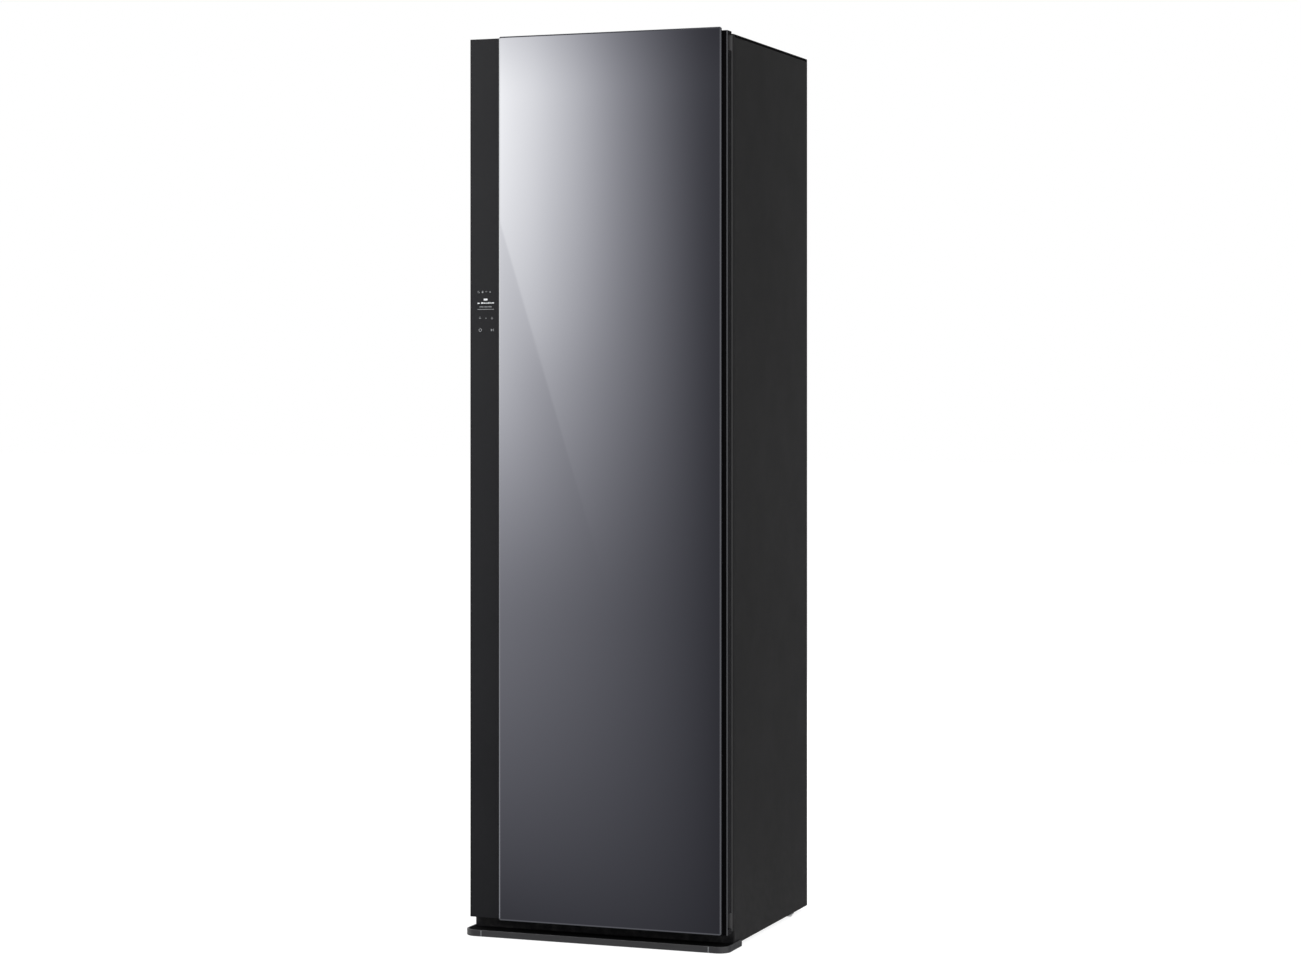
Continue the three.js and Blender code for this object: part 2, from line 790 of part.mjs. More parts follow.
addPiece(cabinet, 'tank_bay', tankBay(), 'darkPlastic');

// Tanks with their lids; the lid's front lip is the finger pull
const tankBottom = bayFloor + seat;
const tankBackY = tankFrontY + tankLength;

function tank(leftX, rightX) {
  const outer = roundedRectangle(leftX, rightX, tankFrontY, tankBackY, tankCornerRadius);
  const inner = roundedRectangle(
    leftX + tankWall, rightX - tankWall, tankFrontY + tankWall, tankBackY - tankWall,
    tankCornerRadius - tankWall);
  return cut(
    prismZ(outer, tankBottom, tankBottom + tankHeight),
    prismZ(inner, tankBottom + tankWall, tankBottom + tankHeight + overrun));
}

function tankLid(leftX, rightX) {
  const low = tankBottom + tankHeight + seat;
  const outline = roundedRectangle(leftX, rightX, tankFrontY - lidLip, tankBackY, tankCornerRadius);
  return prismZ(outline, low, low + lidThickness);
}

const tankSpans = [['supply', supplyLeftX, supplyRightX], ['drain', drainLeftX, drainRightX]];
for (const [name, leftX, rightX] of tankSpans) {
  const drawer = new THREE.Group();
  addPiece(drawer, `${name}_tank`, tank(leftX, rightX), 'tankPlastic');
  addPiece(drawer, `${name}_tank_lid`, tankLid(leftX, rightX), 'lightPlastic');
  model.add(drawer);
}

// Kick plate and the three-piece base bar
function kickPlate() {
  return box(
    -halfWidth + seat, halfWidth - seat, kickFrontY, kickRearY, bodyBottom + kickBottomGap, kickTop);
}

addPiece(cabinet, 'kick_plate', kickPlate(), 'kickPaint');

function baseRing() {
  const backY = barFrontY + barReachBack;
  const outline = (half, frontY, radius) => {
    const shape = new THREE.Shape();
    shape.moveTo(-half, backY + overrun);
    shape.lineTo(-half, frontY + radius);
    shape.absarc(-half + radius, frontY + radius, radius, Math.PI, 1.5 * Math.PI, false);
    shape.absarc(half - radius, frontY + radius, radius, -Math.PI / 2, 0, false);
    shape.lineTo(half, backY + overrun);
    return shape;
  };
  const outer = prismZ(
    outline(barHalfWidth, barFrontY, barCornerRadius), barFloorGap, barTop, roundSteps);
  const inner = prismZ(
    outline(barHalfWidth - barThickness, barFrontY + barThickness, barCornerRadius - barThickness),
    -overrun, barTop + overrun, roundSteps);
  const behind = box(
    -halfWidth - 2 * overrun, halfWidth + 2 * overrun, backY, backY + 2 * overrun,
    -overrun, barTop + overrun);
  return cut(outer, inner, behind);
}

const wholeBar = baseRing();
const barSlice = (fromX, toX) => wholeBar.intersect(
  box(fromX, toX, barFrontY - overrun, 0, -overrun, barTop + overrun));
addPiece(cabinet, 'base_bar_center', barSlice(-barSeamX + seat / 2, barSeamX - seat / 2), 'barPlastic');
addPiece(cabinet, 'base_bar_left', barSlice(-barHalfWidth - overrun, -barSeamX - seat / 2), 'barPlastic');
addPiece(cabinet, 'base_bar_right', barSlice(barSeamX + seat / 2, barHalfWidth + overrun), 'barPlastic');

// Base pan with the ears of the rear rollers
const panHalfWidth = halfWidth - panInset;
const panFrontY = kickRearY + seat;
const panBackY = bodyRearY - sheet - seat;

function basePan() {
  const tray = cut(
    box(-panHalfWidth, panHalfWidth, panFrontY, panBackY, panBottom, panWallTop),
    box(
      -panHalfWidth + panThickness, panHalfWidth - panThickness,
      panFrontY + panThickness, panBackY - panThickness, panFloor, panWallTop + overrun));
  const ears = [];
  for (const side of [-1, 1]) {
    for (const offset of [-1, 1]) {
      const nearX = side * rollerCentreX + offset * (rollerWidth / 2 + seat);
      const farX = nearX + offset * rollerEarWidth;
      ears.push(box(
        Math.min(nearX, farX), Math.max(nearX, farX),
        rollerY - rollerEarLength / 2, rollerY + rollerEarLength / 2,
        rollerEarBottom, panBottom + panThickness / 2));
    }
  }
  const axleHoles = [-1, 1].map((side) => prismX(
    circle(rollerY, rollerRadius, rollerAxleRadius + seat),
    side * rollerCentreX - rollerWidth, side * rollerCentreX + rollerWidth));
  return cut(join(tray, ...ears), ...axleHoles);
}

addPiece(cabinet, 'base_pan', basePan(), 'zincSteel');

// Rear rollers with their stub axles, each drawn about its own centre
function rearRoller() {
  const edge = rollerWidth / 2;
  const reach = edge + rollerEarWidth;
  const profile = [
    [0, -reach], [rollerAxleRadius, -reach], [rollerAxleRadius, -edge], [rollerRadius - rollerRim, -edge],
    [rollerRadius, -edge + rollerRim], [rollerRadius, edge - rollerRim], [rollerRadius - rollerRim, edge],
    [rollerAxleRadius, edge], [rollerAxleRadius, reach], [0, reach],
  ].map(([radius, along]) => new THREE.Vector2(radius, along));
  const lathe = new THREE.LatheGeometry(profile, 2 * roundSteps);
  return toSolid(lathe.rotateZ(-Math.PI / 2));
}


// Levelling feet in their folded brackets
function footBracket(side) {
  const frontY = barFrontY + barThickness + seat;
  const low = bracketBottom;
  const top = panBottom - seat;
  const web = bracketThickness;
  const profile = polygon([
    [frontY, low], [bracketWebBackY + web, low], [bracketWebBackY + web, top], [bracketWebBackY, top],
    [bracketWebBackY, low + web], [bracketWebFrontY + web, low + web], [bracketWebFrontY + web, top],
    [bracketWebFrontY, top], [bracketWebFrontY, low + web], [frontY, low + web],
  ]);
  const hole = prismZ(
    circle(side * footX, footY, footStemRadius + seat), low - overrun, low + web + overrun);
  const ends = [side * bracketLeftX, side * bracketRightX];
  return cut(prismX(profile, Math.min(...ends), Math.max(...ends)), hole);
}

function levellingFoot() {
  const pad = prismZ(circle(0, 0, footRadius), 0, footHeight);
  const stem = prismZ(circle(0, 0, footStemRadius), footHeight / 2, panBottom - seat);
  return join(pad, stem);
}

for (const [name, side] of [['left', -1], ['right', 1]]) {
  const rollerPlace = [side * rollerCentreX, rollerY, rollerRadius];
  addPiece(cabinet, `rear_roller_${name}`, rearRoller(), 'lightPlastic', rollerPlace);
  addPiece(cabinet, `foot_bracket_${name}`, footBracket(side), 'zincSteel');
  addPiece(cabinet, `levelling_foot_${name}`, levellingFoot(), 'darkPlastic', [side * footX, footY, 0]);
}

// Door shell: a moulded frame, thin behind the control strip and deep behind the glass
function doorShell() {
  const plan = new THREE.Shape();
  plan.moveTo(-halfWidth, doorBackY);
  plan.lineTo(-halfWidth, shellBesideStripY);
  plan.lineTo(shellStepX, shellBesideStripY);
  plan.lineTo(shellStepX, shellFrontY);
  plan.lineTo(glassRightX + seat, shellFrontY);
  plan.lineTo(glassRightX + seat, marginFrontY);
  plan.absarc(
    halfWidth - shellEdgeRadius, marginFrontY + shellEdgeRadius, shellEdgeRadius, -Math.PI / 2, 0, false);
  plan.lineTo(halfWidth, doorBackY);
  const whole = prismZ(plan, shellBottom, shellTop);
  const pocket = box(
    pocketLeftX, pocketRightX, pocketFrontY, doorBackY + overrun,
    plugBottom + plugCornerRadius, plugTop - plugCornerRadius);
  const displayPocket = box(
    displayLeftX - seat, displayRightX + seat,
    shellBesideStripY - overrun, shellBesideStripY + seat + displayDepth + seat,
    displayBottom - seat, displayTop + seat);
  const notches = [hingeUpperZ, hingeLowerZ].map((middle) => box(
    notchLeftX, halfWidth + overrun, notchFrontY, doorBackY + overrun,
    middle - notchHeight / 2, middle + notchHeight / 2));
  const bores = [hingeUpperZ, hingeLowerZ].map((middle) => prismZ(
    circle(hingeX, hingeY, hingePinRadius + seat),
    middle - hingePinLength / 2 - seat, middle + hingePinLength / 2 + seat));
  return cut(whole, pocket, displayPocket, ...notches, ...bores);
}

addPiece(door, 'door_shell', doorShell(), 'glossBlack');

// Mirror glass with a bevel round its front edge
function mirrorGlass() {
  const outline = roundedRectangle(glassLeftX, glassRightX, glassBottom, glassTop, glassCornerRadius);
  const geometry = new THREE.ExtrudeGeometry(outline, {
    depth: glassThickness, bevelEnabled: true, bevelSegments: 1, curveSegments: smallRoundSteps,
    bevelSize: glassBevel, bevelOffset: -glassBevel, bevelThickness: glassBevelDepth,
  });
  const place = alongY().setPosition(0, glassBackY + glassBevelDepth, 0);
  const bevelledBothSides = toSolid(geometry.applyMatrix4(place));
  const behind = box(
    glassLeftX - overrun, glassRightX + overrun, glassBackY, glassBackY + overrun,
    glassBottom - overrun, glassTop + overrun);
  return cut(bevelledBothSides, behind);
}

addPiece(door, 'mirror_glass', mirrorGlass(), 'mirror');

// Control strip, set back beside the glass, with the display behind it
function controlStrip() {
  const plan = new THREE.Shape();
  plan.moveTo(-halfWidth, stripBackY);
  plan.lineTo(-halfWidth, stripFrontY + stripEdgeRadius);
  plan.absarc(
    -halfWidth + stripEdgeRadius, stripFrontY + stripEdgeRadius, stripEdgeRadius,
    Math.PI, 1.5 * Math.PI, false);
  plan.lineTo(shellStepX - seat, stripFrontY);
  plan.lineTo(shellStepX - seat, stripBackY);
  return prismZ(plan, glassBottom, stripTop);
}

addPiece(door, 'control_strip', controlStrip(), 'satinStrip');
addPiece(
  door, 'display_module',
  box(
    displayLeftX, displayRightX, shellBesideStripY + seat, shellBesideStripY + seat + displayDepth,
    displayBottom, displayTop),
  'darkPlastic');

// Inner door panel and the gasket round it
function doorLiner() {
  const outline = (inset) => roundedRectangle(
    -plugHalfWidth + inset, plugHalfWidth - inset, plugBottom + inset, plugTop - inset,
    plugCornerRadius - inset);
  return cut(
    prismY(outline(0), doorBackY + seat, plugBackY),
    prismY(outline(plugWall), doorBackY - overrun, plugBackY - plugWall));
}

function gasketRing() {
  const fromY = doorBackY + seat;
  const toY = bodyFrontY - seat;
  const outline = (inset) => roundedRectangle(
    -gasketOuterX + inset, gasketOuterX - inset, gasketBottom + inset, gasketTop - inset,
    gasketCornerRadius - inset);
  return cut(prismY(
    outline(0), fromY, toY), prismY(outline(gasketWidth), fromY - overrun, toY + overrun));
}

addPiece(door, 'door_liner', doorLiner(), 'linerPlastic');
addPiece(door, 'gasket', gasketRing(), 'rubber');

// Hinge brackets on the front frame, with the pins that the door turns on
function hingeBracket() {
  const leafBackY = bodyFrontY - seat - hingeY;
  const leafFrontY = leafBackY - hingeLeafThickness;
  const leafRightX = -seat;
  const leafLeftX = leafRightX - hingeLeafWidth;
  const arm = polygon([
    [leafLeftX, leafBackY], [leafLeftX, leafFrontY], [-hingeBossRadius, 0], [hingeBossRadius, 0],
    [leafRightX, leafFrontY], [leafRightX, leafBackY],
  ]);
  const half = hingeBossHeight / 2;
  const whole = join(prismZ(arm, -half, half), prismZ(circle(0, 0, hingeBossRadius), -half, half));
  return cut(whole, prismZ(circle(0, 0, hingePinRadius + seat), -half - overrun, half + overrun));
}

for (const [name, middle] of [['upper', hingeUpperZ], ['lower', hingeLowerZ]]) {
  const pin = prismZ(circle(0, 0, hingePinRadius), -hingePinLength / 2, hingePinLength / 2);
  addPiece(cabinet, `hinge_bracket_${name}`, hingeBracket(), 'darkPlastic', [hingeX, hingeY, middle]);
  addPiece(cabinet, `hinge_pin_${name}`, pin, 'zincSteel', [hingeX, hingeY, middle]);
}

// Trouser press: a backing board with two lugs, a swinging panel with a barrel, and the rod through them
function pressBase() {
  const board = prismY(
    roundedRectangle(pressLeftX, pressRightX, pressBottom, pressTop, pressCornerRadius),
    pressBaseFrontY, pressBaseBackY);
  const lugs = [pressBottom, pressTop - pressLugHeight].map((low) => join(
    box(
      pressHingeX - pressBarrelRadius, pressHingeX + pressBarrelRadius,
      pressBaseBackY - pressRootOverlap, pressHingeY, low + pressGap, low + pressLugHeight - pressGap),
    prismZ(
      circle(pressHingeX, pressHingeY, pressBarrelRadius),
      low + pressGap, low + pressLugHeight - pressGap)));
  const bore = prismZ(
    circle(pressHingeX, pressHingeY, pressRodRadius + seat), pressBottom - overrun, pressTop + overrun);
  return cut(join(board, ...lugs), bore);
}

function pressPanel() {
  const low = pressBottom + pressLugHeight + pressEndGap;
  const high = pressTop - pressLugHeight - pressEndGap;
  const middle = (low + high) / 2;
  const board = prismY(
    roundedRectangle(pressPanelLeftX, pressPanelRightX, low, high, pressCornerRadius),
    pressPanelFrontY, pressPanelBackY);
  const neck = box(
    pressPanelRightX - pressCornerRadius, pressHingeX,
    pressHingeY - pressRodRadius, pressHingeY + pressRodRadius,
    low + pressCornerRadius, high - pressCornerRadius);
  const barrel = prismZ(circle(pressHingeX, pressHingeY, pressBarrelRadius), low, high);
  const grip = box(
    pressPanelLeftX + pressCornerRadius, pressPanelLeftX + pressCornerRadius + pressGripThickness,
    pressPanelBackY - pressRootOverlap, pressPanelBackY + pressGripDepth,
    middle - pressGripHeight / 2, middle + pressGripHeight / 2);
  const bore = prismZ(
    circle(pressHingeX, pressHingeY, pressRodRadius + seat), low - overrun, high + overrun);
  return cut(join(board, neck, barrel, grip), bore);
}

addPiece(door, 'press_base', pressBase(), 'lightPlastic');
addPiece(door, 'press_panel', pressPanel(), 'lightPlastic');
addPiece(
  door, 'press_hinge_rod', prismZ(circle(0, 0, pressRodRadius), 0, pressTop - pressBottom), 'zincSteel',
  [pressHingeX, pressHingeY, pressBottom]);

// Compressor on its plate
function compressor() {
  const domeStart = compressorHeight - compressorDome;
  const profile = [new THREE.Vector2(0, 0), new THREE.Vector2(compressorRadius, 0)];
  for (let step = 0; step <= smallRoundSteps; step += 1) {
    const angle = (step / smallRoundSteps) * Math.PI / 2;
    const radius = compressorRadius * Math.cos(angle);
    profile.push(new THREE.Vector2(radius, domeStart + compressorDome * Math.sin(angle)));
  }
  profile[profile.length - 1].x = 0;
  const can = toSolid(new THREE.LatheGeometry(profile, 2 * roundSteps).rotateX(Math.PI / 2));
  const half = compressorPlate / 2;
  const plate = prismZ(
    roundedRectangle(-half, half, -half, half, compressorPlateRadius), 0, compressorPlateThickness);
  return join(can, plate);
}

const onPan = panFloor + seat;
addPiece(cabinet, 'compressor', compressor(), 'compressorPaint', [compressorX, compressorY, onPan]);

// Evaporator and condenser: upright fins joined by a spine at each side
function coil() {
  const width = coilRightX - coilLeftX;
  const height = coilTop - onPan;
  const pitch = (width - finThickness) / (finCount - 1);
  const pieces = [
    box(
      0, width, coilDepth / 2 - finSpineThickness / 2, coilDepth / 2 + finSpineThickness / 2, 0, height)];
  for (let fin = 0; fin < finCount; fin += 1) {
    pieces.push(box(fin * pitch, fin * pitch + finThickness, 0, coilDepth, 0, height));
  }
  return join(...pieces);
}

addPiece(cabinet, 'evaporator', coil(), 'aluminium', [coilLeftX, evaporatorFrontY, onPan]);
addPiece(cabinet, 'condenser', coil(), 'aluminium', [coilLeftX, condenserFrontY, onPan]);

// Fan: housing with a neck up to the chamber floor, impeller and motor
function fanHousing() {
  const block = join(
    box(
      fanX - fanHousingHalf, fanX + fanHousingHalf, fanFrontY, fanBackY,
      coilTop + seat, fanZ + fanHousingHalf),
    box(
      fanX - fanNeckHalf, fanX + fanNeckHalf, fanFrontY + fanWall, fanBackY - fanWall,
      fanZ, linerBottom - seat));
  const chamber = prismY(
    circle(fanX, fanZ, fanBoreRadius), fanFrontY + fanWall, fanBackY - fanWall, roundSteps);
  const inlet = prismY(
    circle(fanX, fanZ, fanInletRadius), fanFrontY - overrun, fanFrontY + overrun, roundSteps);
  const shaftHole = prismY(
    circle(fanX, fanZ, fanShaftRadius + seat), fanBackY - overrun, fanBackY + overrun);
  const outlet = box(
    fanX - fanNeckHalf + fanWall, fanX + fanNeckHalf - fanWall,
    fanFrontY + 2 * fanWall, fanBackY - 2 * fanWall, fanZ + fanInletRadius, linerBottom + overrun);
  return cut(block, chamber, inlet, shaftHole, outlet);
}

function fanImpeller() {
  const halfDepth = (fanBackY - fanFrontY) / 2 - 2 * fanWall;
  const back = prismY(circle(0, 0, impellerRadius), halfDepth - impellerPlate, halfDepth, roundSteps);
  const hub = prismY(circle(0, 0, impellerHubRadius), 0, halfDepth, roundSteps);
  const blades = [];
  for (let blade = 0; blade < bladeCount; blade += 1) {
    const vane = new THREE.BoxGeometry(bladeLength, 2 * halfDepth, bladeThickness);
    vane.translate(impellerRadius - bladeLength / 2 - bladeThickness, 0, 0);
    blades.push(toSolid(vane.rotateY((blade / bladeCount) * 2 * Math.PI)));
  }
  const bore = prismY(circle(0, 0, fanShaftRadius + seat), -halfDepth - overrun, halfDepth + overrun);
  return cut(join(back, hub, ...blades), bore);
}

function fanMotor() {
  const fromY = fanBackY + seat;
  return join(
    prismY(circle(fanX, fanZ, fanMotorRadius), fromY, fromY + fanMotorLength, roundSteps),
    prismY(circle(fanX, fanZ, fanShaftRadius), (fanFrontY + fanBackY) / 2, fromY + fanMotorLength / 2));
}

addPiece(cabinet, 'fan_housing', fanHousing(), 'darkPlastic');
addPiece(cabinet, 'fan_impeller', fanImpeller(), 'lightPlastic', [fanX, (fanFrontY + fanBackY) / 2, fanZ]);
addPiece(cabinet, 'fan_motor', fanMotor(), 'zincSteel');

// Steam generator, its hose and the nozzle in the chamber floor
const steamNeckTop = steamTop + steamNeckHeight;
const nozzleSpigotBottom = chamberFloor + seat - nozzleSpigotLength;

function steamGenerator() {
  return join(
    prismZ(
      roundedRectangle(steamLeftX, steamRightX, steamFrontY, steamBackY, steamCornerRadius),
      onPan, steamTop),
    prismZ(circle(steamX, steamY, steamNeckRadius), steamTop - steamNeckRadius, steamNeckTop));
}

function steamHose() {
  const low = steamNeckTop + seat;
  const high = nozzleSpigotBottom - seat;
  const rise = high - low;
  const path = new THREE.CatmullRomCurve3([
    new THREE.Vector3(steamX, steamY, low),
    new THREE.Vector3(steamX, steamY, low + rise / 6),
    new THREE.Vector3(steamX, steamY + steamHoseBend, low + rise / 2),
    new THREE.Vector3(steamX, steamY, high - rise / 6),
    new THREE.Vector3(steamX, steamY, high),
  ]);
  return toSolid(new THREE.ExtrudeGeometry(circle(0, 0, steamHoseRadius), {
    steps: steamHoseSteps, extrudePath: path, curveSegments: smallRoundSteps,
  }));
}

function steamNozzle() {
  const low = chamberFloor + seat;
  const whole = join(
    prismZ(circle(steamX, steamY, nozzleRadius), low, low + nozzleHeight, roundSteps),
    prismZ(
      circle(steamX, steamY, nozzleSpigotRadius), nozzleSpigotBottom, low + nozzleHeight / 2, roundSteps));
  const slots = [-1, 0, 1].map((offset) => {
    const middle = steamY + offset * 2 * nozzleSlotWidth;
    return box(
      steamX - nozzleSlotLength / 2, steamX + nozzleSlotLength / 2,
      middle - nozzleSlotWidth / 2, middle + nozzleSlotWidth / 2,
      low + nozzleHeight - nozzleSlotDepth, low + nozzleHeight + overrun);
  });
  return cut(whole, ...slots);
}

addPiece(cabinet, 'steam_generator', steamGenerator(), 'lightPlastic');
addPiece(cabinet, 'steam_hose', steamHose(), 'rubber');
addPiece(cabinet, 'steam_nozzle', steamNozzle(), 'darkPlastic');

// Water pumps
function waterPump() {
  return join(
    prismZ(circle(0, 0, pumpRadius), 0, pumpHeight, roundSteps),
    prismZ(circle(0, 0, pumpHeadRadius), pumpHeight / 2, pumpHeight + pumpHeadHeight));
}

addPiece(cabinet, 'supply_pump', waterPump(), 'darkPlastic', [supplyPumpX, supplyPumpY, onPan]);
addPiece(cabinet, 'drain_pump', waterPump(), 'darkPlastic', [drainPumpX, drainPumpY, onPan]);

// Slots for a flat grille: their number, the field they share and the share that is open
function slotRow(count, fromX, toX, frontY, backY, lowZ, highZ, openShare) {
  const pitch = (toX - fromX) / count;
  return Array.from({ length: count }, (unused, index) => {
    const middle = fromX + (index + 0.5) * pitch;
    return box(
      middle - pitch * openShare / 2, middle + pitch * openShare / 2, frontY, backY, lowZ, highZ);
  });
}

function airOutletGrille() {
  const low = chamberFloor + seat;
  const plate = box(
    fanX - grilleHalfWidth, fanX + grilleHalfWidth, grilleFrontY, grilleBackY, low, low + grilleThickness);
  return cut(plate, ...slotRow(
    grilleSlots, fanX - fanNeckHalf, fanX + fanNeckHalf,
    grilleFrontY + 2 * grilleRim, grilleBackY - 2 * grilleRim,
    low - overrun, low + grilleThickness + overrun, grilleSlotShare));
}

addPiece(cabinet, 'air_outlet_grille', airOutletGrille(), 'darkPlastic');

// Lint filter and scent cartridge: both hang in a floor hole by their flange
function lintFilter() {
  const low = chamberFloor + seat;
  const top = low + lintFlangeThickness;
  const whole = join(
    box(
      lintLeftX - lintFlange, lintRightX + lintFlange, lintFrontY - lintFlange, lintBackY + lintFlange,
      low, top),
    box(lintLeftX, lintRightX, lintFrontY, lintBackY, low - lintDrop, low + lintFlangeThickness / 2));
  const hollow = box(
    lintLeftX + lintWall, lintRightX - lintWall, lintFrontY + lintWall, lintBackY - lintWall,
    low - lintDrop - overrun, low);
  return cut(whole, hollow, ...slotRow(
    lintSlots, lintLeftX + 2 * lintWall, lintRightX - 2 * lintWall,
    lintFrontY + 2 * lintWall, lintBackY - 2 * lintWall,
    low - overrun, top + overrun, lintSlotShare));
}

function scentCartridge() {
  const low = chamberFloor + seat;
  return join(
    prismZ(
      roundedRectangle(
        scentLeftX - scentFlange, scentRightX + scentFlange,
        scentFrontY - scentFlange, scentBackY + scentFlange, scentFlange),
      low, low + scentCapHeight),
    box(scentLeftX, scentRightX, scentFrontY, scentBackY, low - scentDrop, low + scentCapHeight / 2));
}

addPiece(cabinet, 'lint_filter', lintFilter(), 'darkPlastic');
addPiece(cabinet, 'scent_cartridge', scentCartridge(), 'lightPlastic');

// Slatted shelf on the ledges, and the lamp under the ceiling
function shelf() {
  const half = chamberHalfWidth - shelfClearance;
  const plate = box(-half, half, shelfFrontY, shelfBackY, shelfZ + seat, shelfZ + seat + shelfThickness);
  return cut(plate, ...slotRow(
    shelfSlats, -half + shelfRim, half - shelfRim, shelfFrontY + shelfRim, shelfBackY - shelfRim,
    shelfZ - overrun, shelfZ + shelfThickness + overrun, shelfSlatShare));
}

addPiece(cabinet, 'shelf', shelf(), 'linerPlastic');
addPiece(
  cabinet, 'interior_lamp',
  box(
    -lampHalfWidth, lampHalfWidth, lampFrontY, lampFrontY + lampDepth,
    chamberCeiling - seat - lampHeight, chamberCeiling - seat),
  'lightPlastic');

// Hanger bar with two posts up through the ceiling to the slider
const hanger = new THREE.Group();
model.add(hanger);

function hangerBar() {
  const halfDepth = hangerBarDepth / 2;
  const halfHeight = hangerBarHeight / 2;
  const section = roundedRectangle(
    hangerY - halfDepth, hangerY + halfDepth, hangerZ - halfHeight, hangerZ + halfHeight,
    halfDepth - seat);
  const posts = [-1, 1].map((side) => box(
    side * postX - postWidth / 2, side * postX + postWidth / 2,
    hangerY - postDepth / 2, hangerY + postDepth / 2, hangerZ, sliderZ - seat));
  const notches = Array.from({ length: hangerNotches }, (unused, index) => {
    const middle = (index - (hangerNotches - 1) / 2) * hangerNotchPitch;
    return box(
      middle - hangerNotchWidth / 2, middle + hangerNotchWidth / 2,
      hangerY - hangerBarDepth, hangerY + hangerBarDepth,
      hangerZ + halfHeight - hangerNotchDepth, hangerZ + halfHeight + overrun);
  });
  return cut(join(prismX(section, -hangerHalfLength, hangerHalfLength), ...posts), ...notches);
}

function hangerSlider() {
  const top = sliderZ + sliderThickness;
  const slotHalfLength = hangerTravel + crankPinRadius + slotClearance;
  const plate = join(
    box(
      -sliderHalfLength, sliderHalfLength, hangerY - sliderHalfDepth, hangerY + sliderHalfDepth,
      sliderZ, top),
    box(-yokeHalfWidth, yokeHalfWidth, hangerY, hangerY + yokeReach, sliderZ, top));
  const slot = box(
    -crankPinRadius - crankClearance, crankPinRadius + crankClearance,
    crankY - slotHalfLength, crankY + slotHalfLength, sliderZ - overrun, top + overrun);
  return cut(plate, slot);
}

addPiece(hanger, 'hanger_bar', hangerBar(), 'aluminium');
addPiece(hanger, 'hanger_slider', hangerSlider(), 'zincSteel');

// Two rails that the slider runs in; the rear one leaves room for the yoke
function slideRail(side) {
  const edgeY = hangerY + side * (sliderHalfDepth + seat);
  const outerY = edgeY + side * railLip;
  const innerY = outerY - side * railWidth;
  const low = linerTop + seat;
  const profile = polygon([
    [innerY, low], [outerY, low], [outerY, low + railHeight], [edgeY, low + railHeight],
    [edgeY, sliderZ - seat], [innerY, sliderZ - seat],
  ]);
  const rail = prismX(profile, -railHalfLength, railHalfLength);
  const room = yokeHalfWidth + hangerTravel + slotClearance;
  const gap = box(-room, room, hangerY, hangerY + yokeReach, sliderZ - seat, low + railHeight + overrun);
  return side > 0 ? cut(rail, gap) : rail;
}

addPiece(cabinet, 'slide_rail_front', slideRail(-1), 'lightPlastic');
addPiece(cabinet, 'slide_rail_rear', slideRail(1), 'lightPlastic');

// Crank disc above the yoke, on the shaft of the gearmotor; its pin ends just above the yoke
const yokeTop = sliderZ + sliderThickness;
const crankBottom = yokeTop + crankGap;
const gearmotorBottom = crankBottom + crankDiscThickness + gearmotorShaftGap;

function crankDisc() {
  const disc = prismZ(circle(0, 0, crankDiscRadius), crankGap, crankGap + crankDiscThickness, roundSteps);
  const pin = prismZ(
    circle(hangerTravel, 0, crankPinRadius), crankClearance, crankGap + crankDiscThickness / 2);
  const bore = prismZ(
    circle(0, 0, gearmotorShaftRadius + seat), 0, crankGap + crankDiscThickness + overrun);
  return cut(join(disc, pin), bore);
}

function hangerMotor() {
  const plateTop = gearmotorBottom + gearmotorPlate;
  const legs = [-1, 1].map((side) => {
    const outer = side * gearmotorPlateHalfLength;
    const inner = outer - side * gearmotorLegWidth;
    return box(
      Math.min(outer, inner), Math.max(outer, inner),
      crankY - gearmotorPlateHalfDepth / 2, crankY + gearmotorPlateHalfDepth,
      linerTop + seat, gearmotorBottom + gearmotorPlate / 2);
  });
  return join(
    box(
      -gearmotorPlateHalfLength, gearmotorPlateHalfLength,
      crankY - gearmotorPlateHalfDepth / 2, crankY + gearmotorPlateHalfDepth, gearmotorBottom, plateTop),
    prismZ(
      circle(0, crankY, gearmotorRadius),
      plateTop - gearmotorPlate / 2, plateTop + gearmotorHeight, roundSteps),
    prismZ(circle(0, crankY, gearmotorShaftRadius), crankBottom, plateTop), ...legs);
}

addPiece(cabinet, 'crank_disc', crankDisc(), 'zincSteel', [0, crankY, yokeTop]);
addPiece(cabinet, 'hanger_motor', hangerMotor(), 'zincSteel');

// Box of the control board, beside the drive
addPiece(
  cabinet, 'control_box',
  prismZ(
    roundedRectangle(
      controlBoxLeftX, controlBoxRightX, controlBoxFrontY, controlBoxBackY, controlBoxRadius),
    linerTop + seat, linerTop + seat + controlBoxHeight),
  'darkPlastic');

export default model;
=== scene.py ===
"""Finished looks of the clothes care steam cabinet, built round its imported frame.

Blender works in metres. Pieces are drawn in millimetres, and MM turns those into metres.
"""

import json
import math

import bmesh
import bpy
from mathutils import Matrix, Vector

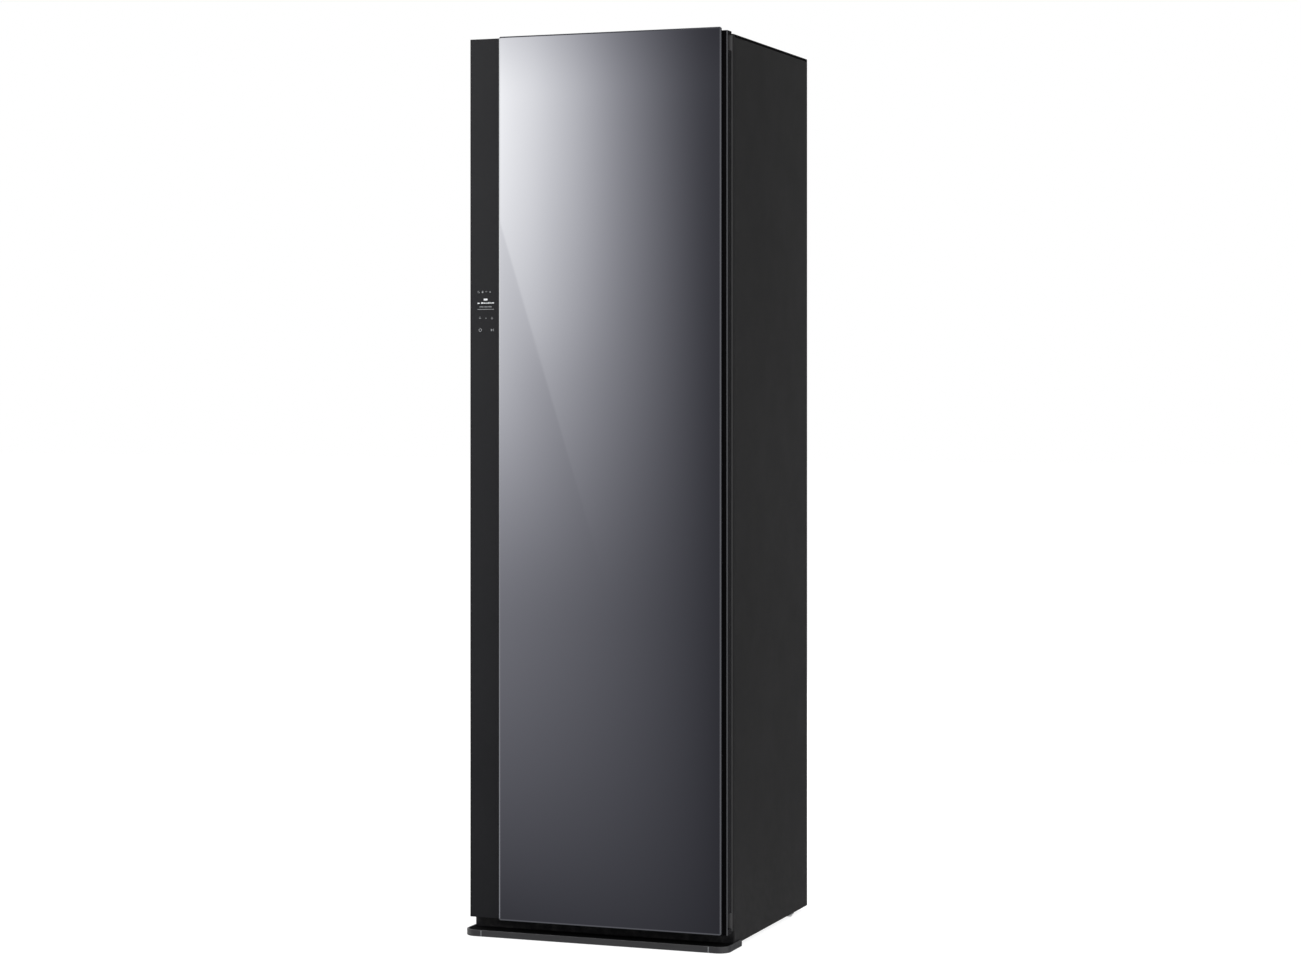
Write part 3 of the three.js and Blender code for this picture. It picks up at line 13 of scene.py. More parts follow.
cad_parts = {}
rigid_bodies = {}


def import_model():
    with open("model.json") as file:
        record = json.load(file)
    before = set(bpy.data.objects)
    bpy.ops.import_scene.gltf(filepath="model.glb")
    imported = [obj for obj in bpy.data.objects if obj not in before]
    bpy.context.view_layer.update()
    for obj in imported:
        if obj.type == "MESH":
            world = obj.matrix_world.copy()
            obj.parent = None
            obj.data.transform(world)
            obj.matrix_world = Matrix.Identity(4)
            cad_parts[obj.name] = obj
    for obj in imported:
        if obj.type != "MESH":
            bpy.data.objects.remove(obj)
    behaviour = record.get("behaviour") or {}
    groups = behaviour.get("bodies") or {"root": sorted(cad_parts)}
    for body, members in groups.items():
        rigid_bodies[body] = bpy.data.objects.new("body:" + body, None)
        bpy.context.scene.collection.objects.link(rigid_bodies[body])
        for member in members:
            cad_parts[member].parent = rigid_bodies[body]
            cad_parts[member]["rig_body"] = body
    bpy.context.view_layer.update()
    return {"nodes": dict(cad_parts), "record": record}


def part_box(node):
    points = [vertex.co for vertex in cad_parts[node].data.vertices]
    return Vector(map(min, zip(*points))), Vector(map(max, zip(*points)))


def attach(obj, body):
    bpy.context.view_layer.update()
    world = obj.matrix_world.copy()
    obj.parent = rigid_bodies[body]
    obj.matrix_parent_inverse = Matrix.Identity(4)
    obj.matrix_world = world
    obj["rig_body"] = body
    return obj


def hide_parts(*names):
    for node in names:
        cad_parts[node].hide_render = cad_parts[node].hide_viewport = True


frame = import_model()
cad = frame["nodes"]
slots = {row["node"]: row["material_slot"] for row in frame["record"]["subparts"]}
scene = bpy.context.scene
scene.view_settings.view_transform = "Standard"
MM = 0.001


# Camera

def place_camera():
    """The photograph's viewpoint: chest high, from the right of the door."""
    data = bpy.data.cameras.new("photo_camera")
    data.sensor_fit = "HORIZONTAL"
    data.sensor_width = 36
    data.lens = 81.507
    data.shift_x = 0.01923
    data.shift_y = -0.07636
    data.clip_end = 100
    camera = bpy.data.objects.new("photo_camera", data)
    camera.location = (2.3165, -6.1825, 1.1955)
    camera.rotation_euler = (math.radians(90), 0, math.radians(20.86))
    scene.collection.objects.link(camera)
    scene.camera = camera


place_camera()


# Node trees, for finishes and for repeated shapes

class Value:
    """An output of a node, usable in plain arithmetic."""

    def __init__(self, nodes, socket):
        self.nodes = nodes
        self.socket = socket

    def out(self, name):
        return Value(self.nodes, self.socket.node.outputs[name])

    def math(self, operation, first, second=0.0):
        return self.nodes.node("ShaderNodeMath", {"operation": operation}, {0: first, 1: second})

    def __add__(self, other):
        return self.math("ADD", self, other)

    def __sub__(self, other):
        return self.math("SUBTRACT", self, other)

    def __rsub__(self, other):
        return self.math("SUBTRACT", other, self)

    def __mul__(self, other):
        return self.math("MULTIPLY", self, other)

    def __truediv__(self, other):
        return self.math("DIVIDE", self, other)

    def __floordiv__(self, other):
        return self.math("FLOOR", self / other)

    def __mod__(self, other):
        return self.math("FLOORED_MODULO", self, other)

    def __pow__(self, other):
        return self.math("POWER", self, other)

    def __abs__(self):
        return self.math("ABSOLUTE", self)

    __radd__ = __add__
    __rmul__ = __mul__


class Nodes:
    """A node tree, empty at first, in which every node is made by one method."""

    def __init__(self, tree):
        self.tree = tree
        tree.nodes.clear()

    def node(self, kind, settings=None, values=None, out=0):
        made = self.tree.nodes.new(kind)
        for name, setting in (settings or {}).items():
            setattr(made, name, setting)
        for name, value in (values or {}).items():
            socket = made.inputs[name]
            if isinstance(value, Value):
                self.tree.links.new(value.socket, socket)
            else:
                socket.default_value = (*value, 1) if socket.type == "RGBA" else value
        return Value(self, made.outputs[out]) if made.outputs else None

    def vector(self, operation, first, second):
        slot = "Scale" if operation == "SCALE" else 1
        return self.node("ShaderNodeVectorMath", {"operation": operation}, {0: first, slot: second})

    def between(self, value, low, high):
        """0 at low, 1 at high, and a smooth rise in between."""
        return self.node("ShaderNodeMapRange", {"interpolation_type": "SMOOTHSTEP"}, {
            "Value": value, "From Min": low, "From Max": high})

    def blend(self, share, first, second):
        """A share of the second colour in the first."""
        return self.node("ShaderNodeMix", {"data_type": "RGBA"}, {0: share, 6: first, 7: second}, 2)


def opened(owner):
    """The node tree of a new material or world."""
    owner.use_nodes = True
    return owner.node_tree


class Finish(Nodes):
    """The nodes of a new material, laid on Object coordinates. Sizes in it are in metres."""

    def __init__(self, name):
        self.material = bpy.data.materials.new(name)
        super().__init__(opened(self.material))
        self.place = self.node("ShaderNodeTexCoord", out="Object")

    def grain(self, size, detail=2, stretch=(1, 1, 1), rough=0.5):
        laid = self.vector("MULTIPLY", self.place, stretch)
        return self.node("ShaderNodeTexNoise", None, {
            "Vector": laid, "Scale": 1 / size, "Detail": detail, "Roughness": rough})

    def patches(self, low, high, *grain):
        """Grain with its middle values spread from 0 to 1."""
        return self.between(self.grain(*grain), low, high)

    def pits(self, size):
        return self.node("ShaderNodeTexVoronoi", None, {"Vector": self.place, "Scale": 1 / size}, "Distance")

    def along(self, axis):
        return self.node("ShaderNodeSeparateXYZ", None, {0: self.place}, axis)

    def edges(self):
        return self.node("ShaderNodeAttribute", {"attribute_name": "edge"}, out="Fac")

    def relief(self, height, depth, under=None):
        values = {"Height": height, "Distance": depth, "Strength": 1.0}
        if under:
            values["Normal"] = under
        return self.node("ShaderNodeBump", None, values)

    def coat(self, values, shader="ShaderNodeBsdfPrincipled"):
        """Puts the shader on, each value on its own socket, and gives the material."""
        surface = self.node(shader, None, values)
        self.node("ShaderNodeOutputMaterial", None, {"Surface": surface})
        return self.material


def tint(colour, share):
    return tuple(channel * share for channel in colour)


# Finishes. Their colours change at these places on the object, in metres.

DUST_HEIGHTS = (0.02, 0.3)
# Where the highlight on the panels' rolled front is painted
FRONT_HIGHLIGHT_Y = (-0.2452, -0.2475)
SHELL_SIDE_X = (0.2984, 0.2992)
# Where the highlight on the door's front corner is painted
SHELL_CORNER_HIGHLIGHT_X = (0.2974, 0.2983)
SHELL_CORNER_HIGHLIGHT_Y = (-0.2826, -0.2834)
STRIP_MIDDLE_X = -0.2615
# Where the strip's painted edge shade starts and ends, counted out from its middle
STRIP_RIM_SHADE = (0.0352, 0.0366)


def painted(name, colour, roughness, peel, gloss, dust=0.0, rolled=0.0):
    """Baked paint: slight orange peel, cloudy shade, dust by the floor, paler edges and a painted highlight
    along the rolled front.
    """
    finish = Finish(name)
    speck = finish.grain(0.0016)
    body = finish.blend(finish.patches(0.3, 0.7, 0.42, 3), tint(colour, 0.9), tint(colour, 1.1))
    body = finish.blend(finish.between(speck, 0.55, 0.75) * 0.35, body, tint(colour, 1.5))
    low = 1 - finish.between(finish.along("Z"), *DUST_HEIGHTS)
    settled = low * finish.patches(0.4, 0.7, 0.02, 5) * dust
    body = finish.blend(settled, body, (0.16, 0.155, 0.15))
    # Painted highlight: the panels' rolled front edge is made much paler, by the given share.
    front = finish.between(finish.along("Y"), *FRONT_HIGHLIGHT_Y) * rolled
    body = finish.blend(front, body, tint(colour, 5.5))
    rubbed = finish.edges() * finish.patches(0.48, 0.72, 0.03, 4)
    return finish.coat({
        "Base Color": finish.blend(rubbed * 0.5, body, tint(colour, 2.6)),
        "Roughness": roughness + 0.12 * (finish.grain(0.09, 4) - 0.5) + settled * 0.3,
        "Normal": finish.relief(finish.grain(peel, 1), 0.00006, finish.relief(speck, 0.00002)),
        "Specular IOR Level": gloss})


def moulded(name, colour, roughness, pit, depth=0.00004, gloss=0.5, handled=0.06, edge_wear_and_highlight=1.8):
    """Moulded plastic: spark-eroded grain, a soft mottle, handled patches and paler edges, partly wear and
    partly a painted highlight.
    """
    finish = Finish(name)
    body = finish.blend(finish.patches(0.3, 0.7, 0.16, 3), tint(colour, 0.93), tint(colour, 1.07))
    rubbed = finish.edges() * finish.patches(0.45, 0.7, 0.018, 4)
    touched = finish.patches(0.5, 0.75, 0.05, 4)
    return finish.coat({
        # Paler edges: wear, and where the edge tint is strong, as on the base bar, a painted highlight.
        "Base Color": finish.blend(rubbed * 0.35, body, tint(colour, edge_wear_and_highlight)),
        "Roughness": roughness - touched * handled + 0.05 * finish.grain(0.004),
        "Normal": finish.relief(finish.pits(pit), depth, finish.relief(finish.grain(0.05), 0.00005)),
        "Specular IOR Level": gloss})


def mirror_finish():
    """Dark tinted mirror glass with the faint wipe marks of a clean pane."""
    finish = Finish("tinted_mirror")
    wipes = finish.patches(0.52, 0.8, 0.12, 5, (1, 1, 0.35), 0.6)
    ground = finish.edges()
    body = finish.blend(finish.grain(0.9), (0.196, 0.202, 0.226), (0.202, 0.208, 0.233))
    return finish.coat({
        "Base Color": finish.blend(ground * 0.4, body, (0.35, 0.37, 0.38)),
        "Roughness": 0.012 + wipes * 0.02 + ground * 0.12,
        "Normal": finish.relief(finish.grain(0.35, 1), 0.00002),
        "Metallic": 1.0})


def gloss_black_finish():
    """High gloss black moulding with hairline polishing marks, a grey side and a painted highlight on the
    front corner.
    """
    finish = Finish("gloss_black")
    hairs = finish.grain(0.0012, 3, (0.06, 1, 1))
    x = finish.along("X")
    # Painted highlight: a pale line on the door's rounded front corner stands for the glint that light makes
    # there.
    corner = finish.between(x, *SHELL_CORNER_HIGHLIGHT_X) * finish.between(finish.along("Y"), *SHELL_CORNER_HIGHLIGHT_Y)
    rubbed = finish.edges() * finish.patches(0.45, 0.7, 0.02, 3)
    body = finish.blend(finish.grain(0.3), (0.0009, 0.0009, 0.001), (0.0016, 0.0016, 0.0018))
    body = finish.blend(finish.between(x, *SHELL_SIDE_X), body, (0.0125, 0.0125, 0.013))
    body = finish.blend(rubbed * 0.2, body, (0.03, 0.03, 0.032))
    return finish.coat({
        "Base Color": finish.blend(corner, body, (0.07, 0.072, 0.077)),
        "Roughness": 0.09 + finish.patches(0.5, 0.75, 0.06, 5) * 0.05 + hairs * 0.03 + corner * 0.25,
        "Normal": finish.relief(finish.grain(0.03, 1), 0.00003),
        "Specular IOR Level": 0.12})


def satin_strip_finish():
    """Satin film behind the touch signs: a fine upright hairline, slightly blue, with painted shade along its
    rim.
    """
    finish = Finish("satin_strip")
    hair = finish.grain(0.0009, 3, (1, 1, 0.02))
    cloud = finish.patches(0.3, 0.7, 0.3, 3)
    body = finish.blend(cloud, (0.0105, 0.0108, 0.0122), (0.0125, 0.0128, 0.0144))
    body = finish.blend(hair * 0.4, body, (0.018, 0.0186, 0.021))
    # Painted shade: the strip's colour is darkened along its side edges, standing in for the shadow of the
    # grooves there.
    rim = finish.between(abs(finish.along("X") - STRIP_MIDDLE_X), *STRIP_RIM_SHADE)
    return finish.coat({
        "Base Color": finish.blend(rim, body, (0.0025, 0.0025, 0.003)),
        "Roughness": 0.38 + 0.12 * hair,
        "Normal": finish.relief(hair, 0.00001),
        "Specular IOR Level": 0.2})


def zinc_finish():
    """Zinc-coated sheet: small spangles with their own shade and shine, fine rolling lines, dull patches."""
    finish = Finish("zinc_sheet")
    drift = finish.vector("SCALE", finish.grain(1 / 90).out("Color"), 0.004)
    bent = finish.vector("ADD", finish.place, drift)
    spangle = finish.node("ShaderNodeTexVoronoi", None, {"Vector": bent, "Scale": 130.0}, "Color")
    shade = finish.node("ShaderNodeSeparateColor", None, {0: spangle})
    rolled = finish.grain(0.0016, 3, (0.03, 1, 1))
    stain = finish.patches(0.5, 0.8, 0.11, 5)
    body = finish.blend(shade, (0.30, 0.31, 0.318), (0.37, 0.382, 0.39))
    body = finish.blend(stain * 0.4, body, (0.27, 0.274, 0.272))
    return finish.coat({
        "Base Color": finish.blend(finish.edges() * 0.6, body, (0.56, 0.57, 0.58)),
        "Roughness": 0.36 + 0.14 * shade.out("Green") + 0.1 * stain + 0.05 * rolled,
        "Normal": finish.relief(rolled, 0.00001, finish.relief(shade, 0.00002)),
        "Metallic": 0.55, "Specular IOR Level": 0.4})


def aluminium_finish():
    """Bare aluminium, brushed along its length."""
    finish = Finish("bare_aluminium")
    brushed = finish.grain(0.0011, 4, (0.03, 1, 1), 0.65)
    dull = finish.patches(0.45, 0.8, 0.05, 5)
    body = finish.blend(brushed, (0.5, 0.51, 0.52), (0.64, 0.65, 0.66))
    return finish.coat({
        "Base Color": finish.blend(dull * 0.3, body, (0.42, 0.43, 0.44)),
        "Roughness": 0.27 + 0.12 * brushed + 0.1 * dull,
        "Normal": finish.relief(brushed, 0.000015),
        "Metallic": 1.0})


def screw_finish():
    """Zinc-plated screw steel with a faint yellow cast and dull recesses."""
    finish = Finish("screw_steel")
    worn = finish.patches(0.4, 0.7, 0.004, 4)
    return finish.coat({
        "Base Color": finish.blend(worn, (0.34, 0.34, 0.33), (0.52, 0.52, 0.5)),
        "Roughness": 0.3 + 0.15 * worn + 0.1 * finish.grain(0.001),
        "Normal": finish.relief(finish.grain(0.0008), 0.00002),
        "Metallic": 1.0})


def rubber_finish():
    """Soft grey rubber with bloom."""
    finish = Finish("gasket_rubber")
    bloom = finish.patches(0.45, 0.75, 0.03, 5)
    body = finish.blend(bloom * 0.4, (0.042, 0.043, 0.047), (0.075, 0.076, 0.08))
    return finish.coat({
        "Base Color": finish.blend(finish.edges() * 0.3, body, (0.09, 0.09, 0.095)),
        "Roughness": 0.62 + 0.15 * bloom,
        "Normal": finish.relief(finish.grain(0.0012, 3), 0.00004),
        "Specular IOR Level": 0.3, "Sheen Weight": 0.15, "Sheen Roughness": 0.5})


def smoked_finish():
    """Smoked clear plastic of the water tanks."""
    finish = Finish("smoked_tank")
    flow = finish.grain(0.04, 3, (1, 1, 0.3))
    return finish.coat({
        "Base Color": finish.blend(flow, (0.30, 0.34, 0.39), (0.36, 0.4, 0.45)),
        "Roughness": 0.09 + 0.06 * finish.patches(0.45, 0.75, 0.02, 4),
        "Normal": finish.relief(flow, 0.00008),
        "IOR": 1.49, "Transmission Weight": 0.72})


def lamp_finish():
    """Frosted lens of the chamber lamp, softly lit and brightest in its middle."""
    finish = Finish("lamp_lens")
    frost = finish.grain(0.0014, 3)
    x = finish.along("X")
    middle = finish.between(x * x, 0.011, 0.002)
    return finish.coat({
        "Base Color": finish.blend(frost, (0.78, 0.79, 0.8), (0.86, 0.87, 0.88)),
        "Emission Color": finish.blend(middle, (0.55, 0.57, 0.6), (0.9, 0.92, 0.95)),
        "Roughness": 0.35 + 0.15 * frost,
        "Normal": finish.relief(frost, 0.00004),
        "Emission Strength": 0.9})


def sign_finish(name, colour, glow):
    """Printed sign with its light behind it."""
    finish = Finish(name)
    dot = finish.grain(0.0005)
    body = finish.blend(dot, tint(colour, 0.85), colour)
    return finish.coat({
        "Base Color": body, "Emission Color": body, "Roughness": 0.4 + 0.1 * dot,
        "Emission Strength": glow, "Specular IOR Level": 0.3})


finishes = {
    "mirror": mirror_finish(),
    "gloss_black": gloss_black_finish(),
    "satin_strip": satin_strip_finish(),
    # Its last number is the share of the painted highlight on the rolled front.
    "cabinet_paint": painted("cabinet_paint", (0.0128, 0.0127, 0.013), 0.52, 0.0045, 0.2, 0.05, 0.8),
    "kick_paint": painted("kick_paint", (0.008, 0.008, 0.009), 0.62, 0.003, 0.25, 0.12),
    # A strong edge tint: paler edges that are partly wear and mostly a painted highlight.
    "bar_plastic": moulded("bar_plastic", (0.036, 0.036, 0.038), 0.46, 0.0011, gloss=0.45, edge_wear_and_highlight=3.4),
    "liner_plastic": moulded("liner_plastic", (0.25, 0.26, 0.27), 0.42, 0.0016, 0.00003, 0.5, 0.08, 1.25),
    "dark_plastic": moulded("dark_plastic", (0.02, 0.02, 0.022), 0.5, 0.0013),
    "gasket_rubber": rubber_finish(),
    "zinc_steel": zinc_finish(),
    "bare_aluminium": aluminium_finish(),
    "tank_plastic": smoked_finish(),
    "light_plastic": moulded("light_plastic", (0.66, 0.67, 0.68), 0.38, 0.0018, 0.00002, 0.5, 0.07, 1.1),
    "compressor_paint": painted("compressor_paint", (0.006, 0.006, 0.007), 0.24, 0.006, 0.5),
}
# Matt black for the strips and sheets that stand in for shade: painted shade.
edge_seal = moulded("edge_seal", (0.003, 0.003, 0.0032), 0.9, 0.0009, 0.00003, 0.04)
screw_steel = screw_finish()
lamp_lens = lamp_finish()
sign_white = sign_finish("sign_white", (0.8, 0.82, 0.84), 0.12)
sign_grey = sign_finish("sign_grey", (0.3, 0.31, 0.32), 0.02)


# Outlines and points, in millimetres

def polar(radius, degrees, x=0, y=0):
    """The point at a radius and an angle round (x, y)."""
    turn = math.radians(degrees)
    return x + radius * math.cos(turn), y + radius * math.sin(turn)


def arc(x, y, radius, width, start, sweep, steps=16):
    """A bent band: first its outer points, then its inner ones on the way back."""
    angles = [start + sweep * step / steps for step in range(steps + 1)]
    outer = [polar(radius + width / 2, angle, x, y) for angle in angles]
    return outer + [polar(radius - width / 2, angle, x, y) for angle in reversed(angles)]


def rounded(corners, radius, steps=6):
    """A flat outline with its corners rounded; radius is one number or one for each corner."""
    outline = []
    for index, corner in enumerate(corners):
        here = Vector(corner)
        before = Vector(corners[index - 1]) - here
        after = Vector(corners[(index + 1) % len(corners)]) - here
        reach = radius[index] if isinstance(radius, list) else radius
        if reach == 0:
            outline.append(tuple(here))
            continue
        half = before.angle(after) / 2
        middle = here + (before.normalized() + after.normalized()).normalized() * (reach / math.sin(half))
        start = here + before.normalized() * (reach / math.tan(half)) - middle
        end = here + after.normalized() * (reach / math.tan(half)) - middle
        turn = start.angle_signed(end)
        for step in range(steps + 1):
            arm = start.copy()
            arm.rotate(Matrix.Rotation(-turn * step / steps, 2))
            outline.append(tuple(middle + arm))
    return outline


def rectangle(left, right, low, high, radius=0, steps=6):
    return rounded([(left, low), (right, low), (right, high), (left, high)], radius, steps)


def raised(outline, level, axis="Z"):
    """A flat outline put at a level along an axis."""
    if axis == "Z":
        return [(a, b, level) for a, b in outline]
    if axis == "Y":
        return [(a, level, b) for a, b in outline]
    return [(level, a, b) for a, b in outline]


def mirrored(half, middle=0):
    """Points and then their mirror images, back again; a point on the middle comes once."""
    return half + [(2 * middle - first, *rest) for first, *rest in reversed(half) if first != middle]


def smooth_path(points, steps=8):
    """A smooth curve through points, as a list of points."""
    points = [Vector(point) for point in points]
    points = [2 * points[0] - points[1]] + points + [2 * points[-1] - points[-2]]
    path = []
    for index in range(1, len(points) - 2):
        a, b, c, d = points[index - 1:index + 3]
        for step in range(steps):
            t = step / steps
            path.append(0.5 * (2 * b + (c - a) * t + (2 * a - 5 * b + 4 * c - d) * t ** 2
                               + (3 * b - a - 3 * c + d) * t ** 3))
    return path + [points[-2]]


def places(across, along, heights):
    """Every meeting of the given x, y and z."""
    return [(x, y, z) for x in across for y in along for z in heights]


def span(node):
    """Lowest and highest corner of a CAD node in millimetres."""
    low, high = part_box(node)
    return low / MM, high / MM


def plan(low, high, inset=0):
    """Left, right, front and back of a box from above, drawn in by an inset."""
    return low.x + inset, high.x - inset, low.y + inset, high.y - inset


def elevation(low, high):
    """Left, right, bottom and top of a box from the front."""
    return low.x, high.x, low.z, high.z


# Shapes in the making, drawn in millimetres

def soften(shape, width, segments=2, angle=35):
    """Rounds the sharp edges and marks the new faces, which the finishes wear a little and, on the base bar,
    pale as a painted highlight.
    """
    mark = shape.faces.layers.float.get("edge") or shape.faces.layers.float.new("edge")
    sharp = [
        edge for edge in shape.edges
        if len(edge.link_faces) == 2 and edge.calc_face_angle(0) > math.radians(angle)]
    made = bmesh.ops.bevel(
        shape, geom=sharp, offset=width * MM, offset_type="OFFSET", segments=segments, profile=0.5,
        affect="EDGES", clamp_overlap=True)
    for face in made["faces"]:
        face[mark] = 1.0
    return shape


def loft(loops, ring=False):
    """A skin through loops of equal count or single points; a ring joins its last loop to its first."""
    shape = bmesh.new()
    skin = [[shape.verts.new(Vector(point) * MM) for point in loop] for loop in loops]
    count = max(len(loop) for loop in loops)
    for index in range(len(skin) if ring else len(skin) - 1):
        low, high = skin[index], skin[(index + 1) % len(skin)]
        for step in range(count):
            corners = [row[turn % len(row)] for row, turn in (
                (low, step), (low, step + 1), (high, step + 1), (high, step))]
            shape.faces.new(list(dict.fromkeys(corners)))
    if not ring:
        for end in (skin[0], skin[-1]):
            if len(end) > 1:
                shape.faces.new(end)
    bmesh.ops.recalc_face_normals(shape, faces=shape.faces)
    return shape


def slab(outline, low, high, axis="Z", edge=0.0, segments=2):
    """A prism on a flat outline, with its edges broken where a width is given."""
    shape = loft([raised(outline, low, axis), raised(outline, high, axis)])
    return soften(shape, edge, segments) if edge else shape


def block(left, right, front, back, low, high, edge=0.5, segments=2):
    return slab(rectangle(left, right, front, back), low, high, "Z", edge, segments)


def carried_round(box, radius, section, base=0, axis="Z", steps=6, ring=False, shrink=1):
    """A section of (inset, level) points carried round a rounded rectangle; levels count from the base."""
    left, right, low, high = box
    return loft([
        raised(rectangle(left + inset, right - inset, low + inset, high - inset,
                         max(radius - shrink * inset, 0.2), steps), base + level, axis)
        for inset, level in section], ring)


def turned(profile, centre, axis="Z", steps=48, ring=False):
    """A lathe-turned shape: the profile gives (radius, height); a ring has a bore and no poles."""
    def point(radius, along, step):
        a, b = polar(radius, 360 * step / steps)
        return Vector(centre) + Vector({"Z": (a, b, along), "Y": (a, along, b), "X": (along, a, b)}[axis])

    return loft([
        [point(radius, along, step) for step in range(steps if radius else 1)]
        for radius, along in profile], ring)


def bore(radius, low, high, centre, steps):
    """An upright rod, for cutting a round hole."""
    return turned([(0, low), (radius, low), (radius, high), (0, high)], centre, "Z", steps)


def tube(path, radius, steps=14):
    """A round bar or pipe along a path; radius is one number or one for each point."""
    points = [Vector(point) for point in path]
    side = (points[1] - points[0]).orthogonal().normalized()
    loops = []
    for index, here in enumerate(points):
        before, after = points[max(index - 1, 0)], points[min(index + 1, len(points) - 1)]
        heading = (after - before).normalized()
        side = (side - heading * side.dot(heading)).normalized()
        up = heading.cross(side)
        reach = radius[index] if isinstance(radius, list) else radius
        turns = [polar(reach, 360 * step / steps) for step in range(steps)]
        loops.append([here + side * a + up * b for a, b in turns])
    return loft(loops)


def gather(*parts):
    """Several shapes in the making as one."""
    whole = bmesh.new()
    whole.faces.layers.float.new("edge")
    for part in parts:
        mesh = bpy.data.meshes.new("part")
        part.to_mesh(mesh)
        part.free()
        whole.from_mesh(mesh)
        bpy.data.meshes.remove(mesh)
    return whole


def held(name, shape):
    """A shape in the making, or a mesh, as an object of the scene."""
    mesh = shape
    if isinstance(shape, bmesh.types.BMesh):
        mesh = bpy.data.meshes.new(name)
        shape.to_mesh(mesh)
        shape.free()
    made = bpy.data.objects.new(name, mesh)
    scene.collection.objects.link(made)
    return made


def evaluated(made, *tools):
    """The shape that an object's modifiers give it; the object and its tools have then done their work."""
    bpy.context.view_layer.update()
    mesh = bpy.data.meshes.new_from_object(made.evaluated_get(bpy.context.evaluated_depsgraph_get()))
    shape = bmesh.new()
    shape.from_mesh(mesh)
    bpy.data.meshes.remove(mesh)
    for used in (made, *tools):
        mesh = used.data
        bpy.data.objects.remove(used)
        bpy.data.meshes.remove(mesh)
    return shape


def carved(shape, cutter):
    """The shape with the cutter's form taken out of it."""
    whole, tool = held("whole", shape), held("tool", cutter)
    cut = whole.modifiers.new("carve", "BOOLEAN")
    cut.operation, cut.solver, cut.object = "DIFFERENCE", "EXACT", tool
    return evaluated(whole, tool)


# Finished pieces

def piece(name, body, slot, shape, stands_for=(), finish=None, angle=38):
    """A finished piece that rides on its body and may stand for CAD nodes."""
    made = held(name, shape)
    mesh = made.data
    mesh.name = name
    mesh.polygons.foreach_set("use_smooth", [True] * len(mesh.polygons))
    mesh.set_sharp_from_angle(angle=math.radians(angle))
    mesh.materials.clear()
    mesh.materials.append(finish or finishes[slot])
    even = made.modifiers.new("even_shading", "WEIGHTED_NORMAL")
    even.keep_sharp = True
    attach(made, body)
    if stands_for:
        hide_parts(*stands_for)


def stand_in(node, shape, finish=None, angle=38):
    """A piece made in place of one CAD node, with that node's body and slot."""
    piece(node + "_made", cad[node]["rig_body"], slots[node], shape, (node,), finish, angle)


def cad_copy(node):
    """A merged copy of a CAD node, with its flat faces joined up."""
    shape = bmesh.new()
    shape.from_mesh(cad[node].data)
    bmesh.ops.remove_doubles(shape, verts=shape.verts, dist=0.00001)
    bmesh.ops.dissolve_limit(
        shape, angle_limit=math.radians(1), verts=shape.verts, edges=shape.edges)
    return shape


def dressed(node, width, *extras, segments=2):
    """A CAD node's own form with its edges broken, and with further parts of the same finish."""
    shape = soften(cad_copy(node), width, segments, 38)
    stand_in(node, gather(shape, *extras) if extras else shape)


# Repeated shapes, by Geometry Nodes

def pattern(name, inputs):
    """A new Geometry Nodes tree with named inputs."""
    tree = bpy.data.node_groups.new(name, "GeometryNodeTree")
    tree.interface.new_socket("Geometry", in_out="OUTPUT", socket_type="NodeSocketGeometry")
    for label, kind in inputs.items():
        tree.interface.new_socket(label, in_out="INPUT", socket_type="NodeSocket" + kind)
    nodes = Nodes(tree)
    given = nodes.node("NodeGroupInput")
    return nodes, {label: given.out(label) for label in inputs}


def close_pattern(nodes, points, given, turn=None):
    """Puts the given shape on the points, makes it real and gives it its finish."""
    shape = nodes.node(
        "GeometryNodeObjectInfo", {"transform_space": "ORIGINAL"}, {"Object": given["Shape"]}, "Geometry")
    values = {"Points": points, "Instance": shape}
    if turn:
        values["Rotation"] = turn
    placed = nodes.node("GeometryNodeInstanceOnPoints", None, values)
    real = nodes.node("GeometryNodeRealizeInstances", None, {0: placed})
    coated = nodes.node("GeometryNodeSetMaterial", None, {"Geometry": real, "Material": given["Finish"]})
    nodes.node("NodeGroupOutput", None, {"Geometry": coated})
    return nodes.tree


def row_pattern():
    """One shape in columns and rows."""
    nodes, given = pattern("rows_of_one_shape", {
        "Shape": "Object", "Finish": "Material", "Columns": "Int", "Rows": "Int",
        "Start": "Vector", "Column step": "Vector", "Row step": "Vector"})
    index = nodes.node("GeometryNodeInputIndex")
    across = nodes.vector("SCALE", given["Column step"], index % given["Columns"])
    up = nodes.vector("SCALE", given["Row step"], index // given["Columns"])
    place = nodes.vector("ADD", given["Start"], nodes.vector("ADD", across, up))
    points = nodes.node(
        "GeometryNodePoints", None, {"Count": given["Columns"] * given["Rows"], "Position": place})
    return close_pattern(nodes, points, given)


def ring_pattern():
    """One shape repeated round an axis through a centre."""
    nodes, given = pattern("ring_of_one_shape", {
        "Shape": "Object", "Finish": "Material", "Count": "Int", "Centre": "Vector", "Axis": "Vector"})
    index = nodes.node("GeometryNodeInputIndex")
    turn = nodes.vector("SCALE", given["Axis"], index * (2 * math.pi) / given["Count"])
    points = nodes.node("GeometryNodePoints", None, {"Count": given["Count"], "Position": given["Centre"]})
    return close_pattern(nodes, points, given, turn)


